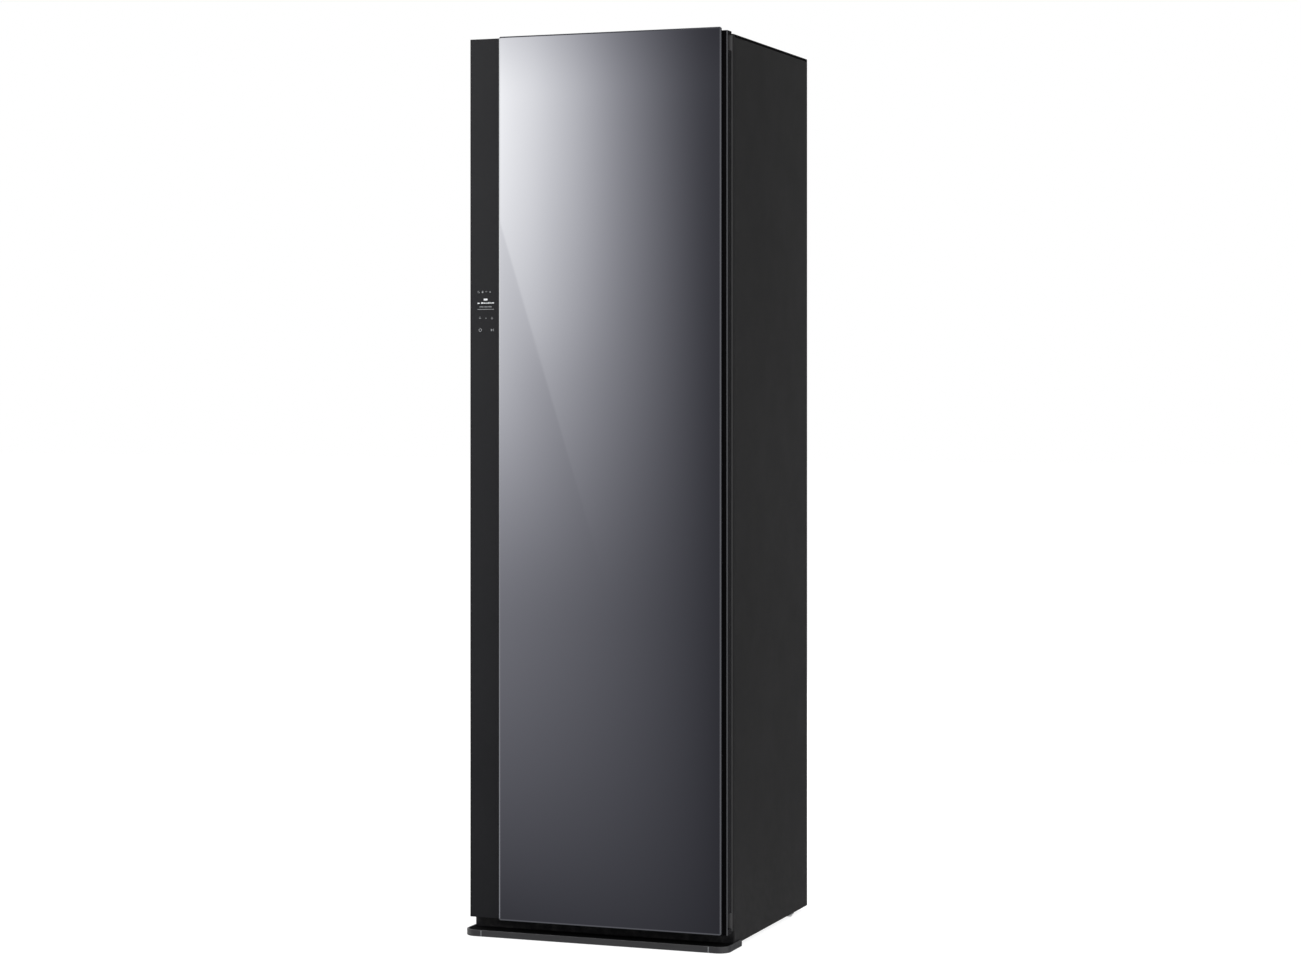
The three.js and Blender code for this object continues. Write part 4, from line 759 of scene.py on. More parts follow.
def stud_pattern():
    """Screws on the points of a mesh, all facing one way, each turned by chance about its own axis."""
    nodes, given = pattern("screws_on_points", {
        "Geometry": "Geometry", "Shape": "Object", "Finish": "Material", "Facing": "Vector", "Seed": "Int"})
    chance = nodes.node(
        "FunctionNodeRandomValue", {"data_type": "FLOAT"}, {"Max": 2 * math.pi, "Seed": given["Seed"]}, 1)
    spin = nodes.node("FunctionNodeAxisAngleToRotation", None, {"Angle": chance})
    facing = nodes.node(
        "FunctionNodeAlignRotationToVector", {"axis": "Z"}, {"Rotation": spin, "Vector": given["Facing"]})
    return close_pattern(nodes, given["Geometry"], given, facing)


row_tree, ring_tree, stud_tree = row_pattern(), ring_pattern(), stud_pattern()


def grown(tree, shape, finish, settings, start=None):
    """Runs a pattern with its named inputs and gives the plain shape that it makes."""
    unit = held("unit", shape)
    carrier = held("carrier", start or bpy.data.meshes.new("start"))
    growth = carrier.modifiers.new("pattern", "NODES")
    growth.node_group = tree
    inputs = {item.name: item.identifier for item in tree.interface.items_tree if item.in_out == "INPUT"}
    for label, value in {"Shape": unit, "Finish": finish, **settings}.items():
        growth[inputs[label]] = value
    return evaluated(carrier, unit)


def mm(*numbers):
    return tuple(number * MM for number in numbers)


def rows(shape, slot, start, columns, column_step, lines=1, line_step=(0, 0, 0), finish=None):
    """A shape repeated from a start, by a step for each column and one for each line."""
    return grown(row_tree, shape, finish or finishes[slot], {
        "Columns": columns, "Rows": lines, "Start": mm(*start),
        "Column step": mm(*column_step), "Row step": mm(*line_step)})


def ring(shape, slot, count, centre, axis=(0, 0, 1)):
    """A shape drawn round the origin, repeated round an axis through the centre."""
    return grown(ring_tree, shape, finishes[slot], {"Count": count, "Centre": mm(*centre), "Axis": axis})


def screw(radius, height):
    """A pan head with a cross recess, its foot at the origin and its axis upright."""
    head = turned([
        (0, -0.4), (radius, -0.4), (radius, height * 0.3), (radius * 0.86, height * 0.72),
        (radius * 0.5, height * 0.95), (0, height)], (0, 0, 0), steps=16)
    wide, deep = radius * 0.12, radius * 0.55
    cross = [
        (wide, wide), (wide, deep), (-wide, deep), (-wide, wide), (-deep, wide), (-deep, -wide),
        (-wide, -wide), (-wide, -deep), (wide, -deep), (wide, -wide), (deep, -wide), (deep, wide)]
    return carved(head, slab(cross, height * 0.35, height + 1))


def screws(name, where, facing, radius, height, seed):
    """One piece of screws on the cabinet, their feet at the given places."""
    start = bpy.data.meshes.new(name)
    start.from_pydata([mm(*place) for place in where], [], [])
    heads = grown(stud_tree, screw(radius, height), screw_steel, {"Facing": facing, "Seed": seed}, start)
    piece(name, "cabinet", "zinc_steel", heads, (), screw_steel)


# Door

def glass_pane():
    """Mirror glass, its ground bevel fine at the corners."""
    low, high = span("mirror_glass")
    ground_depth = 0.95
    shape = carried_round(
        elevation(low, high), 4, [(0, high.y), (0, low.y + 1), (3, low.y)], axis="Y", steps=10, shrink=0.6)
    soften(shape, 0.12, 1, 40)
    mark = shape.faces.layers.float.get("edge")
    for face in shape.faces:
        if face.calc_center_median().y < (low.y + ground_depth) * MM and len(face.verts) < 6:
            face[mark] = 1.0
    stand_in("mirror_glass", shape, angle=12)


def door_gasket():
    """Magnet gasket: a foot in the door, a bellows and a rounded sealing lip."""
    low, high = span("gasket")
    section = [
        (1, 0), (18.4, 0), (19.2, 0.9), (17, 1.9), (19, 3), (19.6, 5.2), (18.6, 6.8), (16, 7.4),
        (9.5, 7.4), (7.4, 6.9), (6.6, 5.6), (4.4, 4.4), (5.8, 3.2), (3.4, 2.3), (0.4, 1)]
    stand_in("gasket", carried_round(elevation(low, high), 24, section, low.y, "Y", 10, True))


def inner_door():
    """Inner door panel with a raised bead round the press."""
    low, high = span("door_liner")
    section = [(14, -0.3), (15, 1.3), (17, 1.9), (21, 1.9), (23, 1.3), (24, -0.3)]
    bead = carried_round(elevation(low, high), 34, section, high.y, "Y", 10, True)
    dressed("door_liner", 2.2, bead, segments=4)


def press():
    """Trouser press: ribbed backing board, a panel with steam openings, and the grooved rod it swings on."""
    back = span("press_base")[1].y
    rib = block(-1.5, 1.5, back - 0.4, back + 0.45, 760, 1610)
    dressed("press_base", 0.9, rows(rib, "light_plastic", (-120, 0, 0), 9, (29, 0, 0)))
    opening = slab(rectangle(-4.5, 4.5, -26, 26, 4.4, 5), -240, -180, "Y")
    openings = rows(opening, "light_plastic", (-85, 0, 800), 6, (34, 0, 0), 11, (0, 0, 76))
    stand_in("press_panel", soften(carved(cad_copy("press_panel"), openings), 0.9, 2, 40))
    low, high = span("press_hinge_rod")
    reach = (high.z - low.z) / 2
    profile = [
        (0, -reach), (2.4, -reach), (3, -reach + 0.6), (3, reach - 3.2), (2.3, reach - 3), (2.3, reach - 2.2),
        (3, reach - 2), (3, reach - 0.6), (2.4, reach), (0, reach)]
    stand_in("press_hinge_rod", turned(profile, (low + high) / 2, "Z", 24))


glass_pane()
dressed("control_strip", 0.25)
dressed("display_module", 0.4)
dressed("door_shell", 1.3, segments=3)
door_gasket()
inner_door()
press()


# Plain touch signs and display marks on the strip. Places are x and z.

def bar(x, z, long, high, radius=0.3):
    return rectangle(x - long / 2, x + long / 2, z - high / 2, z + high / 2, radius, 3)


def signs(name, outlines, finish):
    """Thin printed marks on the face of the strip."""
    face = span("control_strip")[0].y
    marks = [slab(outline, face - 0.09, face + 0.1, "Y") for outline in outlines]
    piece(name, "door", "light_plastic", gather(*marks), (), finish)


def display():
    """Two lines of plain bars of several sizes, with a wide bar under them and a lit mark above."""
    heights = ((-271.2, 3), (-266, 2), (-260.8, 1.6), (-255.6, 2.6), (-250.4, 1.9), (-245.2, 2.4))
    lengths = ((-272.5, 9.5), (-262, 9), (-252.5, 8))
    levels = [bar(x, 1381.1 + high / 4, 4.6, high) for x, high in heights]
    signs("display_level", [bar(-279.6, 1381.3, 4.6, 2.5), *levels], sign_white)
    signs("display_marks", [
        bar(-262.7, 1367.8, 39.5, 1.1), *(bar(x, 1373.2, long, 1.6) for x, long in lengths)], sign_grey)
    signs("display_lamp", [bar(-262.9, 1389.2, 9.4, 4.4, 2.1)], sign_white)


def strip_signs():
    """Four small status signs over the display, and the touch signs under it."""
    signs("status_signs", [
        arc(-279.4, 1405.8, 1.9, 0.9, 60, 300),
        bar(-270.2, 1405.0, 3.6, 3.0), arc(-270.2, 1406.9, 1.4, 0.7, 0, 180, 10),
        arc(-261.4, 1404.4, 3.0, 0.8, 45, 90, 8), arc(-261.4, 1404.4, 1.3, 0.8, 45, 90, 8),
        rounded([(-254.2, 1404.2), (-250.2, 1404.2), (-252.2, 1408.6)], 0.7, 3)], sign_grey)
    signs("touch_signs", [
        bar(-276.3, 1348.4, 5, 1.2), bar(-276.3, 1351.0, 2.2, 1.2),
        bar(-247.7, 1348.2, 5, 1), bar(-247.7, 1350.3, 1, 2.2), bar(-247.7, 1346.1, 1, 2.2),
        bar(-262, 1348.3, 1.6, 2.6, 0.7),
        arc(-275.6, 1322.6, 3.1, 1.1, 120, 300), bar(-275.6, 1325.6, 1, 3),
        rounded([(-250.2, 1319.9), (-245.9, 1322.7), (-250.2, 1325.5)], 0.3, 3),
        bar(-244.4, 1322.7, 1.2, 5.4)], sign_grey)


display()
strip_signs()


# Cabinet, seen from the front and the sides

def top_panel():
    """Top panel with a low pressed field."""
    section = [(0, -0.3), (1.6, 0.3), (3.6, 1), (5.6, 1.3)]
    field = carried_round((-262, 262, -212, 240), 26, section, span("top_panel")[1].z, steps=8)
    dressed("top_panel", 0.4, field)


def base_bar():
    """Three moulded lengths with fine edges, paler strips on each seam as a painted highlight, and a black
    sheet behind them as painted shade.
    """
    low, high = span("base_bar_center")
    thick, bend, seam_x, steps = high.y - low.y, 26, 262, 24
    stand_in("base_bar_center", slab(rectangle(*plan(low, high)), low.z, high.z, "Z", 1.1, 3))
    for side, name in ((-1, "base_bar_left"), (1, "base_bar_right")):
        low, high = span(name)
        seam, outer = (low.x, high.x) if side > 0 else (-high.x, -low.x)
        bent = arc(outer - bend, low.y + bend, bend - thick / 2, thick, -90, 90, steps)
        outline = [
            (seam, low.y), *bent[:steps + 1], (outer, high.y), (outer - thick, high.y), *bent[steps + 1:],
            (seam, low.y + thick)]
        stand_in(name, slab([(side * x, y) for x, y in outline], low.z, high.z, "Z", 1.1, 3))
    # Painted highlight: strips of paler plastic on each seam stand for the light line there.
    seam_highlights = [
        block(x - 0.9, x + 0.9, low.y - 0.12, low.y + 0.6, low.z + 0.9, high.z - 0.9, 0.2, 1)
        for x in (-seam_x, seam_x)]
    piece("base_bar_seams", "cabinet", "bar_plastic", gather(*seam_highlights), (), finishes["liner_plastic"])
    width, front, back = outer - thick + 0.4, low.y + thick - 0.4, high.y - 4
    deep = front + 56.5
    outline = mirrored([(width, front), (width, back), (width - 4, back), (width - 4, deep)])
    # Painted shade: a black sheet fills the gap behind the bar, where the floor under the cabinet lies in
    # shadow.
    shade_sheet = slab(rounded(outline, [22, 1, 1, 1, 1, 1, 1, 22], 8), high.z - 3.2, high.z - 1.8, "Z", 0.3, 1)
    piece("base_apron", "cabinet", "kick_paint", shade_sheet, (), edge_seal)


def edge_shade_strips():
    """Black strips over the top and rear edges of both side panels, painted shade for the dark line along
    those edges.
    """
    low, high = span("side_panel_right")
    back, strips = high.y + 0.2, []
    for side in (-1, 1):
        inner, outer = sorted((side * (high.x - 1), side * (high.x + 0.35)))
        strips.append(block(inner, outer, low.y + 14, back, high.z - 4.6, high.z + 0.3, 0.3))
        strips.append(block(inner, outer, high.y - 2.4, back, low.z + 1, high.z - 4.7, 0.3))
    # Painted shade: these matt black strips stand for the dark line along the panels' top and rear edges.
    piece("side_edge_seals", "cabinet", "gasket_rubber", gather(*strips), (), edge_seal)


def roller(node):
    """Rear roller: an axle, a dished hub and a grooved tread."""
    low, high = span(node)
    reach = (high.x - low.x) / 2
    half = [
        (0, -reach), (2.4, -reach), (3, -reach + 0.5), (3, -6), (4.6, -6), (5, -6.4), (5.4, -6), (5.8, -5.2),
        (9.2, -5.2), (9.6, -6), (10, -7), (11.2, -7), (12.4, -6.5), (13, -5.3), (13, -3), (12.5, -2.6),
        (12.5, -1.8), (13, -1.4)]
    profile = half + [(radius, -along) for radius, along in reversed(half)]
    stand_in(node, turned(profile, (low + high) / 2, "X", 40))


def levelling_foot(node):
    """Levelling foot: a knurled pad and a threaded stem."""
    low, high = span(node)
    top, pitch, thread = high.z, 1.25, 7.2
    centre = (low + high) / 2
    centre.z = 0
    profile = [
        (0, 0), (13.8, 0), (15.4, 0.5), (16, 1.4), (16, 4.2), (15.2, 5.4), (13.6, 6), (7.4, 6), (6.6, 6.6),
        (5, 6.8)]
    while thread < top - 1.6:
        profile += [(4.35, thread), (5, thread + 0.6)]
        thread += pitch
    profile += [(4.3, top - 0.8), (3.6, top), (0, top)]
    knurls = ring(block(15.2, 16, -0.7, 0.7, 1.6, 4, 0.2, 1), "dark_plastic", 36, centre)
    stand_in(node, gather(turned(profile, centre, "Z", 36), knurls))


def hinge(name):
    """Hinge bracket with a round knuckle and bushes, its pin and four screws."""
    low, high = span(f"hinge_bracket_{name}")
    pin_low, pin_high = span(f"hinge_pin_{name}")
    pin = (pin_low + pin_high) / 2
    centre = (pin.x, pin.y, 0)
    front, right = high.y - 7, low.x + 23
    knuckle = [polar(8, angle, pin.x, pin.y) for angle in range(-180, 1, 12)]
    arm = slab([(low.x, high.y), (low.x, front), *knuckle, (right, front), (right, high.y)],
               low.z, high.z, "Z", 0.5)
    bushes = [turned([
        (4.3, level), (6.6, level), (6.9, level + 0.3), (6.9, level + 0.9), (6.6, level + 1.2),
        (4.3, level + 1.2)], centre, "Z", 32, True) for level in (low.z - 1.1, high.z - 0.1)]
    leaf_face = high.y - 1.8
    leaf = block(low.x - 25, low.x + 1, leaf_face, high.y, low.z + 1, high.z - 1)
    arm = carved(arm, bore(4.3, low.z - 1, high.z + 1, centre, 32))
    stand_in(f"hinge_bracket_{name}", gather(arm, leaf, *bushes))
    reach = (pin_high.z - pin_low.z) / 2
    stand_in(f"hinge_pin_{name}", turned([
        (0, -reach), (3.2, -reach), (4, -reach + 0.8), (4, reach - 1), (3.4, reach - 0.3), (0, reach)],
        pin, "Z", 32))
    where = places((low.x - 7, low.x - 18), (leaf_face,), (pin.z - 7, pin.z + 7))
    screws(f"hinge_screws_{name}", where, (0, -1, 0), 3, 1.4, 5)


dressed("side_panel_left", 0.4)
dressed("side_panel_right", 0.4)
top_panel()
dressed("front_frame", 0.6)
dressed("kick_plate", 0.8)
base_bar()
edge_shade_strips()
for side_name in ("left", "right"):
    roller(f"rear_roller_{side_name}")
    levelling_foot(f"levelling_foot_{side_name}")
    dressed(f"foot_bracket_{side_name}", 0.4)
hinge("upper")
hinge("lower")


# Back of the cabinet

def rear_cover():
    """Rear cover: pressed beads on the pan, and tabs that screw it to the frame."""
    low, high = span("rear_cover")
    section = [(0, -0.4), (2, 0.6), (5, 2), (8, 2.4), (11, 2.4)]
    bead = carried_round((-15, 15, 560, 1780), 15, section, high.y, "Y", 8)
    beads = rows(bead, "zinc_steel", (-165, 0, 0), 4, (110, 0, 0))
    tab_x, tab_heights, top_tab_x = 289.5, range(500, 1861, 340), (-210, 0, 210)
    back = low.y - 0.15
    face = back + 1.3
    tabs = [
        block(x - 7, x + 7, back, face, z - 11, z + 11, 0.4) for x in (-tab_x, tab_x) for z in tab_heights]
    tabs += [block(x - 14, x + 14, back, face, high.z - 3, high.z + 8, 0.4) for x in top_tab_x]
    dressed("rear_cover", 1.4, beads, *tabs, segments=3)
    plate = slab(rectangle(-48, 48, 478, 538, 4, 5), high.y - 0.2, high.y + 0.35, "Y", 0.15, 1)
    piece("blank_rating_plate", "cabinet", "light_plastic", plate)
    where = places((-291, 291), (face,), tab_heights) + places(top_tab_x, (face,), (high.z + 3.8,))
    screws("cover_screws", where, (0, 1, 0), 3.4, 1.8, 2)


def machine_cover():
    """Lower cover: a hood over each louvre, a black strip behind it as painted shade, and screws round the
    edge.
    """
    back = span("machine_cover")[1].y
    half, rise, depth = 85, 13, 5.2
    roof = [(0, rise), (1.6, rise - 1.6), (depth, 1.2), (depth, 0.2), (depth - 0.9, 0), (0.9, rise - 3.6),
            (-0.3, rise - 1.4)]
    cheek = [(-0.3, rise - 0.6), (1.4, rise - 1.9), (depth - 0.1, 1.2), (depth - 0.3, 0.3), (-0.3, 0.3)]
    roof, cheek = ([(back + y, z) for y, z in outline] for outline in (roof, cheek))
    cheeks = slab(cheek, -half, 1 - half, "X"), slab(cheek, half - 1, half, "X")
    hood = gather(slab(roof, -half, half, "X", 0.25, 1), *cheeks)
    louvres = (-125, 0, 129.2), 2, (250, 0, 0), 9, (0, 0, 26)
    dressed("machine_cover", 0.3, rows(hood, "zinc_steel", *louvres))
    # Painted shade: a black strip under each hood stands for the dark opening behind it.
    slit = block(3 - half, half - 3, back - 0.6, back + 0.25, -4.6, 0.1, 0.1, 1)
    piece("louvre_screens", "cabinet", "dark_plastic", rows(slit, "dark_plastic", *louvres), (), edge_seal)
    where = places((-277, 277), (back,), (52, 168, 290, 406)) + places((-95, 95), (back,), (47, 409))
    screws("lower_cover_screws", where, (0, 1, 0), 3.4, 1.8, 3)


def cord_gland():
    """Ribbed gland with a rubber-lipped bore."""
    low, high = span("cord_gland")
    centre = (low + high) / 2
    centre.y = 0
    flange = high.y - 5
    body = turned([
        (4, low.y), (8.4, low.y), (9, low.y + 0.8), (9, flange), (12.2, flange), (13, flange + 0.8),
        (13, flange + 2.4), (12, flange + 3.2), (8.2, flange + 3.6), (7.2, high.y - 0.4), (6.4, high.y),
        (4.8, high.y), (4, high.y - 0.7)], centre, "Y", 48, True)
    grip = block(11.6, 13.2, flange + 0.7, flange + 2.6, -0.8, 0.8, 0.2, 1)
    stand_in("cord_gland", gather(body, ring(grip, "dark_plastic", 18, centre, (0, 1, 0))))


rear_cover()
machine_cover()
cord_gland()


# Chamber

LINER_WALL = 4


def liner():
    """Moulded liner: upright ribs on the back wall and three flutes on each side wall."""
    outside = span("inner_liner")[1]
    section = [(0, 0), (1.2, -1.1), (3, -2), (5, -2.3)]
    rib = carried_round((-7, 7, 680, 1740), 7, section, outside.y - LINER_WALL + 0.4, "Y")
    ribs = [rows(rib, "liner_plastic", (-192, 0, 0), 9, (48, 0, 0))]
    for side in (-1, 1):
        section = [(0, 0), (1, -0.9 * side), (3, -1.4 * side)]
        inside = side * (outside.x - LINER_WALL + 0.2)
        flute = carried_round((-40, 40, 690, 1700), 14, section, inside, "X")
        ribs.append(rows(flute, "liner_plastic", (0, -110, 0), 3, (0, 110, 0)))
    dressed("inner_liner", 1.8, *ribs, segments=3)


def shelf():
    """Lift-out shelf with rounded slats, a thumb lip at the front and the four pegs that it lies on."""
    low, high = span("shelf")
    lip = block(-60, 60, low.y - 3, low.y + 3, low.z + 1, high.z - 0.5, 1.4, 3)
    dressed("shelf", 1.8, lip, segments=3)
    peg = [(0, 240), (4.2, 240), (5, 240.8), (5, 252.4), (0, 252.4)]
    pegs = [
        turned([(radius, side * x) for radius, x in peg], (0, y, low.z - 5.4), "X", 24)
        for side in (1, -1) for y in (low.y + 50, high.y - 50)]
    piece("shelf_pegs", "cabinet", "light_plastic", gather(*pegs))


def lamp():
    """Lamp: a slim base and a ribbed lens."""
    low, high = span("interior_lamp")
    base = block(*plan(low, high), high.z - 2.2, high.z, 0.6)
    outline = rectangle(low.x + 3, high.x - 3, low.y + 2.5, high.y - 2.5, 6)
    lens = slab(outline, low.z + 0.8, high.z - 2, "Z", 0.7)
    half = [(low.y + 5, low.z + 1), (low.y + 5.4, low.z + 0.3), (low.y + 6.2, low.z)]
    rib = slab(mirrored(half, (low.y + high.y) / 2), -1.1, 1.1, "X", 0.3, 1)
    ribs = rows(rib, "light_plastic", (-98, 0, 0), 50, (4, 0, 0), finish=lamp_lens)
    stand_in("interior_lamp", gather(base, lens, ribs), lamp_lens)


def hanger():
    """Shaking hanger bar with hanger stops and end caps, and rubber-lipped trims round its slots."""
    low, high = span("hanger_bar")
    y, z = (low.y + high.y) / 2, low.z + 13
    stop = slab(mirrored([(y - 7.4, 25), (y - 6.4, 27.2), (y - 4.4, 28.6)], y), -1.6, 1.6, "X", 0.5)
    dressed("hanger_bar", 0.8, rows(stop, "bar_plastic", (-128, 0, low.z), 9, (32, 0, 0)))
    end = rectangle(-8, 8, -13, 13, 7.7, 8)
    caps = [loft([
        raised([(y + a * share, z + b * share) for a, b in end], side * (high.x + rise), "X")
        for rise, share in ((-10, 1.04), (0.3, 1.04), (1.6, 0.97), (2.4, 0.8))]) for side in (-1, 1)]
    piece("hanger_bar_caps", "hanger", "dark_plastic", gather(*caps))
    under = span("inner_liner")[1].z - LINER_WALL
    section = [(0, 0.3), (0, -0.9), (1, -1.6), (3.4, -1.6), (4.3, -0.8), (4.3, 0.3)]
    slot_places = (-165, 165)
    trims = [
        carried_round((x - 36, x + 36, y - 14, y + 14), 9, section, under, ring=True) for x in slot_places]
    lips = [
        block(x - 31, x + 31, edge - 1.4, edge + 1.4, under - 0.6, under + 0.4, 0.3)
        for x in slot_places for edge in (y - 8.2, y + 8.2)]
    piece("post_slot_trims", "cabinet", "gasket_rubber", gather(*trims, *lips))


def outlet_grille():
    """Warm-air grille: a rounded plate with slanted vanes."""
    low, high = span("air_outlet_grille")
    x, front, back = (low.x + high.x) / 2, low.y + 17, high.y - 17
    plate = carried_round(plan(low, high), 8, [
        (0, low.z), (0, high.z - 1.4), (1.4, high.z), (17, high.z), (18.4, high.z - 1),
        (18.4, low.z)], ring=True)
    vane = slab([(-3, 0.2), (-1.9, 0.2), (2.6, 4.2), (1.5, 4.2)], front, back, "Y", 0.25, 1)
    vanes = rows(vane, "dark_plastic", (x - 57, 0, low.z), 16, (7.6, 0, 0))
    bridges = [block(x + a - 1, x + a + 1, front, back, low.z, high.z - 0.4, 0.2) for a in (-20, 20)]
    stand_in("air_outlet_grille", gather(plate, vanes, *bridges))


def nozzle():
    """Steam nozzle: a domed head with three slots on a ribbed spigot."""
    low, high = span("steam_nozzle")
    centre = (low + high) / 2
    centre.z = 0
    face = high.z - 12
    profile = [(0, low.z), (12.8, low.z), (14, low.z + 1.2)]
    for groove in range(4):
        start = low.z + 4 + 4 * groove
        profile += [(14, start), (12.9, start + 1), (12.9, start + 2), (14, start + 3)]
    profile += [
        (14, face), (25, face), (26, face + 0.8), (26, face + 3), (25, face + 6), (22.4, face + 9),
        (18, face + 11.2), (13, face + 12), (0, face + 12)]
    opening = slab(rectangle(-15, 15, -2.5, 2.5, 2.4, 5), high.z - 6, high.z + 4)
    openings = rows(opening, "dark_plastic", (centre.x, centre.y - 10, 0), 3, (0, 10, 0))
    head = carved(turned(profile, centre, "Z", 56), openings)
    stand_in("steam_nozzle", soften(head, 0.4, 2, 45))


def lint_filter():
    """Lift-out lint filter: rim, basket walls, woven mesh top and bottom, and a lifting bow."""
    low, high = span("lint_filter")
    left, right, front, back = plan(low, high, 8)
    x, y, top, rim_low = (left + right) / 2, (front + back) / 2, high.z, high.z - 4
    rim = carried_round(plan(low, high), 6, [
        (0, rim_low), (0, top - 1.2), (1.2, top), (12.5, top), (13.8, top - 1), (13.8, rim_low)], ring=True)
    walls = carried_round((left, right, front, back), 3, [
        (0, low.z + 0.8), (0.8, low.z), (2.2, low.z), (3, low.z + 0.8), (3, rim_low + 0.4),
        (0, rim_low + 0.4)], ring=True)
    weave = []
    for level in (top - 2.4, low.z + 2.4):
        warp = block(-0.35, 0.35, front + 1.5, back - 1.5, level, level + 0.7, 0)
        weft = block(left + 1.5, right - 1.5, -0.35, 0.35, level - 0.5, level + 0.2, 0)
        weave.append(rows(warp, "dark_plastic", (left + 4, 0, 0), 62, (2.17, 0, 0)))
        weave.append(rows(weft, "dark_plastic", (0, front + 4, 0), 34, (0, 2.18, 0)))
    half = [(x - 26, y, top - 3), (x - 24, y, top + 3), (x - 14, y, top + 7.5), (x, y, top + 8.5)]
    bow = tube(smooth_path(mirrored(half, x), 5), 2.2)
    bridge = block(left + 1, right - 1, y - 4, y + 4, rim_low + 0.2, top - 0.6, 0.8)
    stand_in("lint_filter", gather(rim, walls, bow, bridge, *weave))


def scent_cartridge():
    """Scent cartridge: a cushioned cap with vents and grip ribs on a plain body."""
    low, high = span("scent_cartridge")
    foot = high.z - 12
    section = [(0.4, 0), (0, 0.6), (0, 8), (0.7, 10.2), (2.2, 11.6), (4.5, 12)]
    cap = carried_round(plan(low, high), 8, section, foot, steps=8, shrink=0)
    vent = slab(rectangle(-2, 2, -12, 12, 1.9, 5), high.z - 3, high.z + 2)
    vents = rows(vent, "light_plastic", (low.x + 16, (low.y + high.y) / 2, 0), 7, (6.7, 0, 0))
    cap = soften(carved(cap, vents), 0.35, 1, 50)
    body = block(*plan(low, high, 6), low.z, foot + 0.4, 1.4, 3)
    grip = block(low.x + 20, high.x - 20, low.y - 0.6, low.y + 0.6, -0.5, 0.5, 0.3, 1)
    grips = rows(grip, "light_plastic", (0, 0, foot + 3), 3, (0, 0, 2.2))
    stand_in("scent_cartridge", gather(cap, body, grips))


def tank(side_name):
    """Water tank with a level scale, and its beaded lid with a screw cap, a carrying bow and grip ribs."""
    low, high = span(f"{side_name}_tank")
    shell = carried_round(plan(low, high), 12, [
        (2.4, low.z), (0.7, low.z + 0.7), (0, low.z + 2.4), (0, high.z - 0.6), (0.6, high.z), (2.6, high.z),
        (3, high.z - 0.6), (3, low.z + 5.4), (5, low.z + 3.4)], steps=8)
    mark = block(-7, 7, low.y - 0.5, low.y + 0.4, -0.6, 0.6, 0.2, 1)
    scale = rows(mark, "tank_plastic", (low.x + 26, 0, low.z + 35), 9, (0, 0, 18))
    stand_in(f"{side_name}_tank", gather(shell, scale))
    low, high = span(f"{side_name}_tank_lid")
    x, front, top = (low.x + high.x) / 2, low.y, high.z
    cap_y, ear_y, arm, bow_level = front + 150, front + 205, 66, top + 3.4
    plate = carried_round(plan(low, high), 12, [
        (1, low.z), (0, low.z + 1), (0, top - 2), (0.7, top - 0.6), (2.2, top)], steps=8, shrink=0.6)
    cap = turned([
        (0, -0.5), (21, -0.5), (21, 2.6), (20, 3.8), (15, 4), (14, 3), (0, 3)], (x, cap_y, top), "Z", 56)
    tooth = block(20.6, 21.8, -0.9, 0.9, top - 0.2, top + 2.8, 0.3, 1)
    teeth = ring(tooth, "light_plastic", 36, (x, cap_y, 0))
    wing = block(x - 13, x + 13, cap_y - 2.6, cap_y + 2.6, top + 2, top + 5.6, 1.2, 3)
    section = [(0, -0.3), (0.7, 0.8), (1.9, 1.3), (3.1, 1.3), (4.3, 0.8), (5, -0.3)]
    field = (low.x + 14, high.x - 14, front + 34, high.y - 14)
    bead = carried_round(field, 10, section, top, steps=8, ring=True)
    half = [(x - arm, ear_y, top + 2)] + [(x - a, front + y, bow_level) for a, y in (
        (arm, 180), (arm, 110), (arm - 8, 92), (arm - 26, 88), (0, 87))]
    bow = tube(smooth_path(mirrored(half, x), 6), 3.2)
    ears = [turned([
        (0, edge - 4), (6, edge - 4), (6.8, edge - 3.2), (6.8, edge + 3.2), (6, edge + 4), (0, edge + 4)],
        (0, ear_y, top + 0.6), "X", 28) for edge in (x - arm, x + arm)]
    grip = block(x - 40, x + 40, -0.8, 0.8, top - 0.3, top + 0.9, 0.4)
    grips = rows(grip, "light_plastic", (0, front + 5.5, 0), 4, (0, 4, 0))
    stand_in(f"{side_name}_tank_lid", gather(plate, cap, teeth, wing, grips, bead, bow, *ears))


for make in (liner, shelf, lamp, hanger, outlet_grille, nozzle, lint_filter, scent_cartridge):
    make()
tank("supply")
tank("drain")
dressed("tank_bay", 1.0)


# Machine space under the chamber

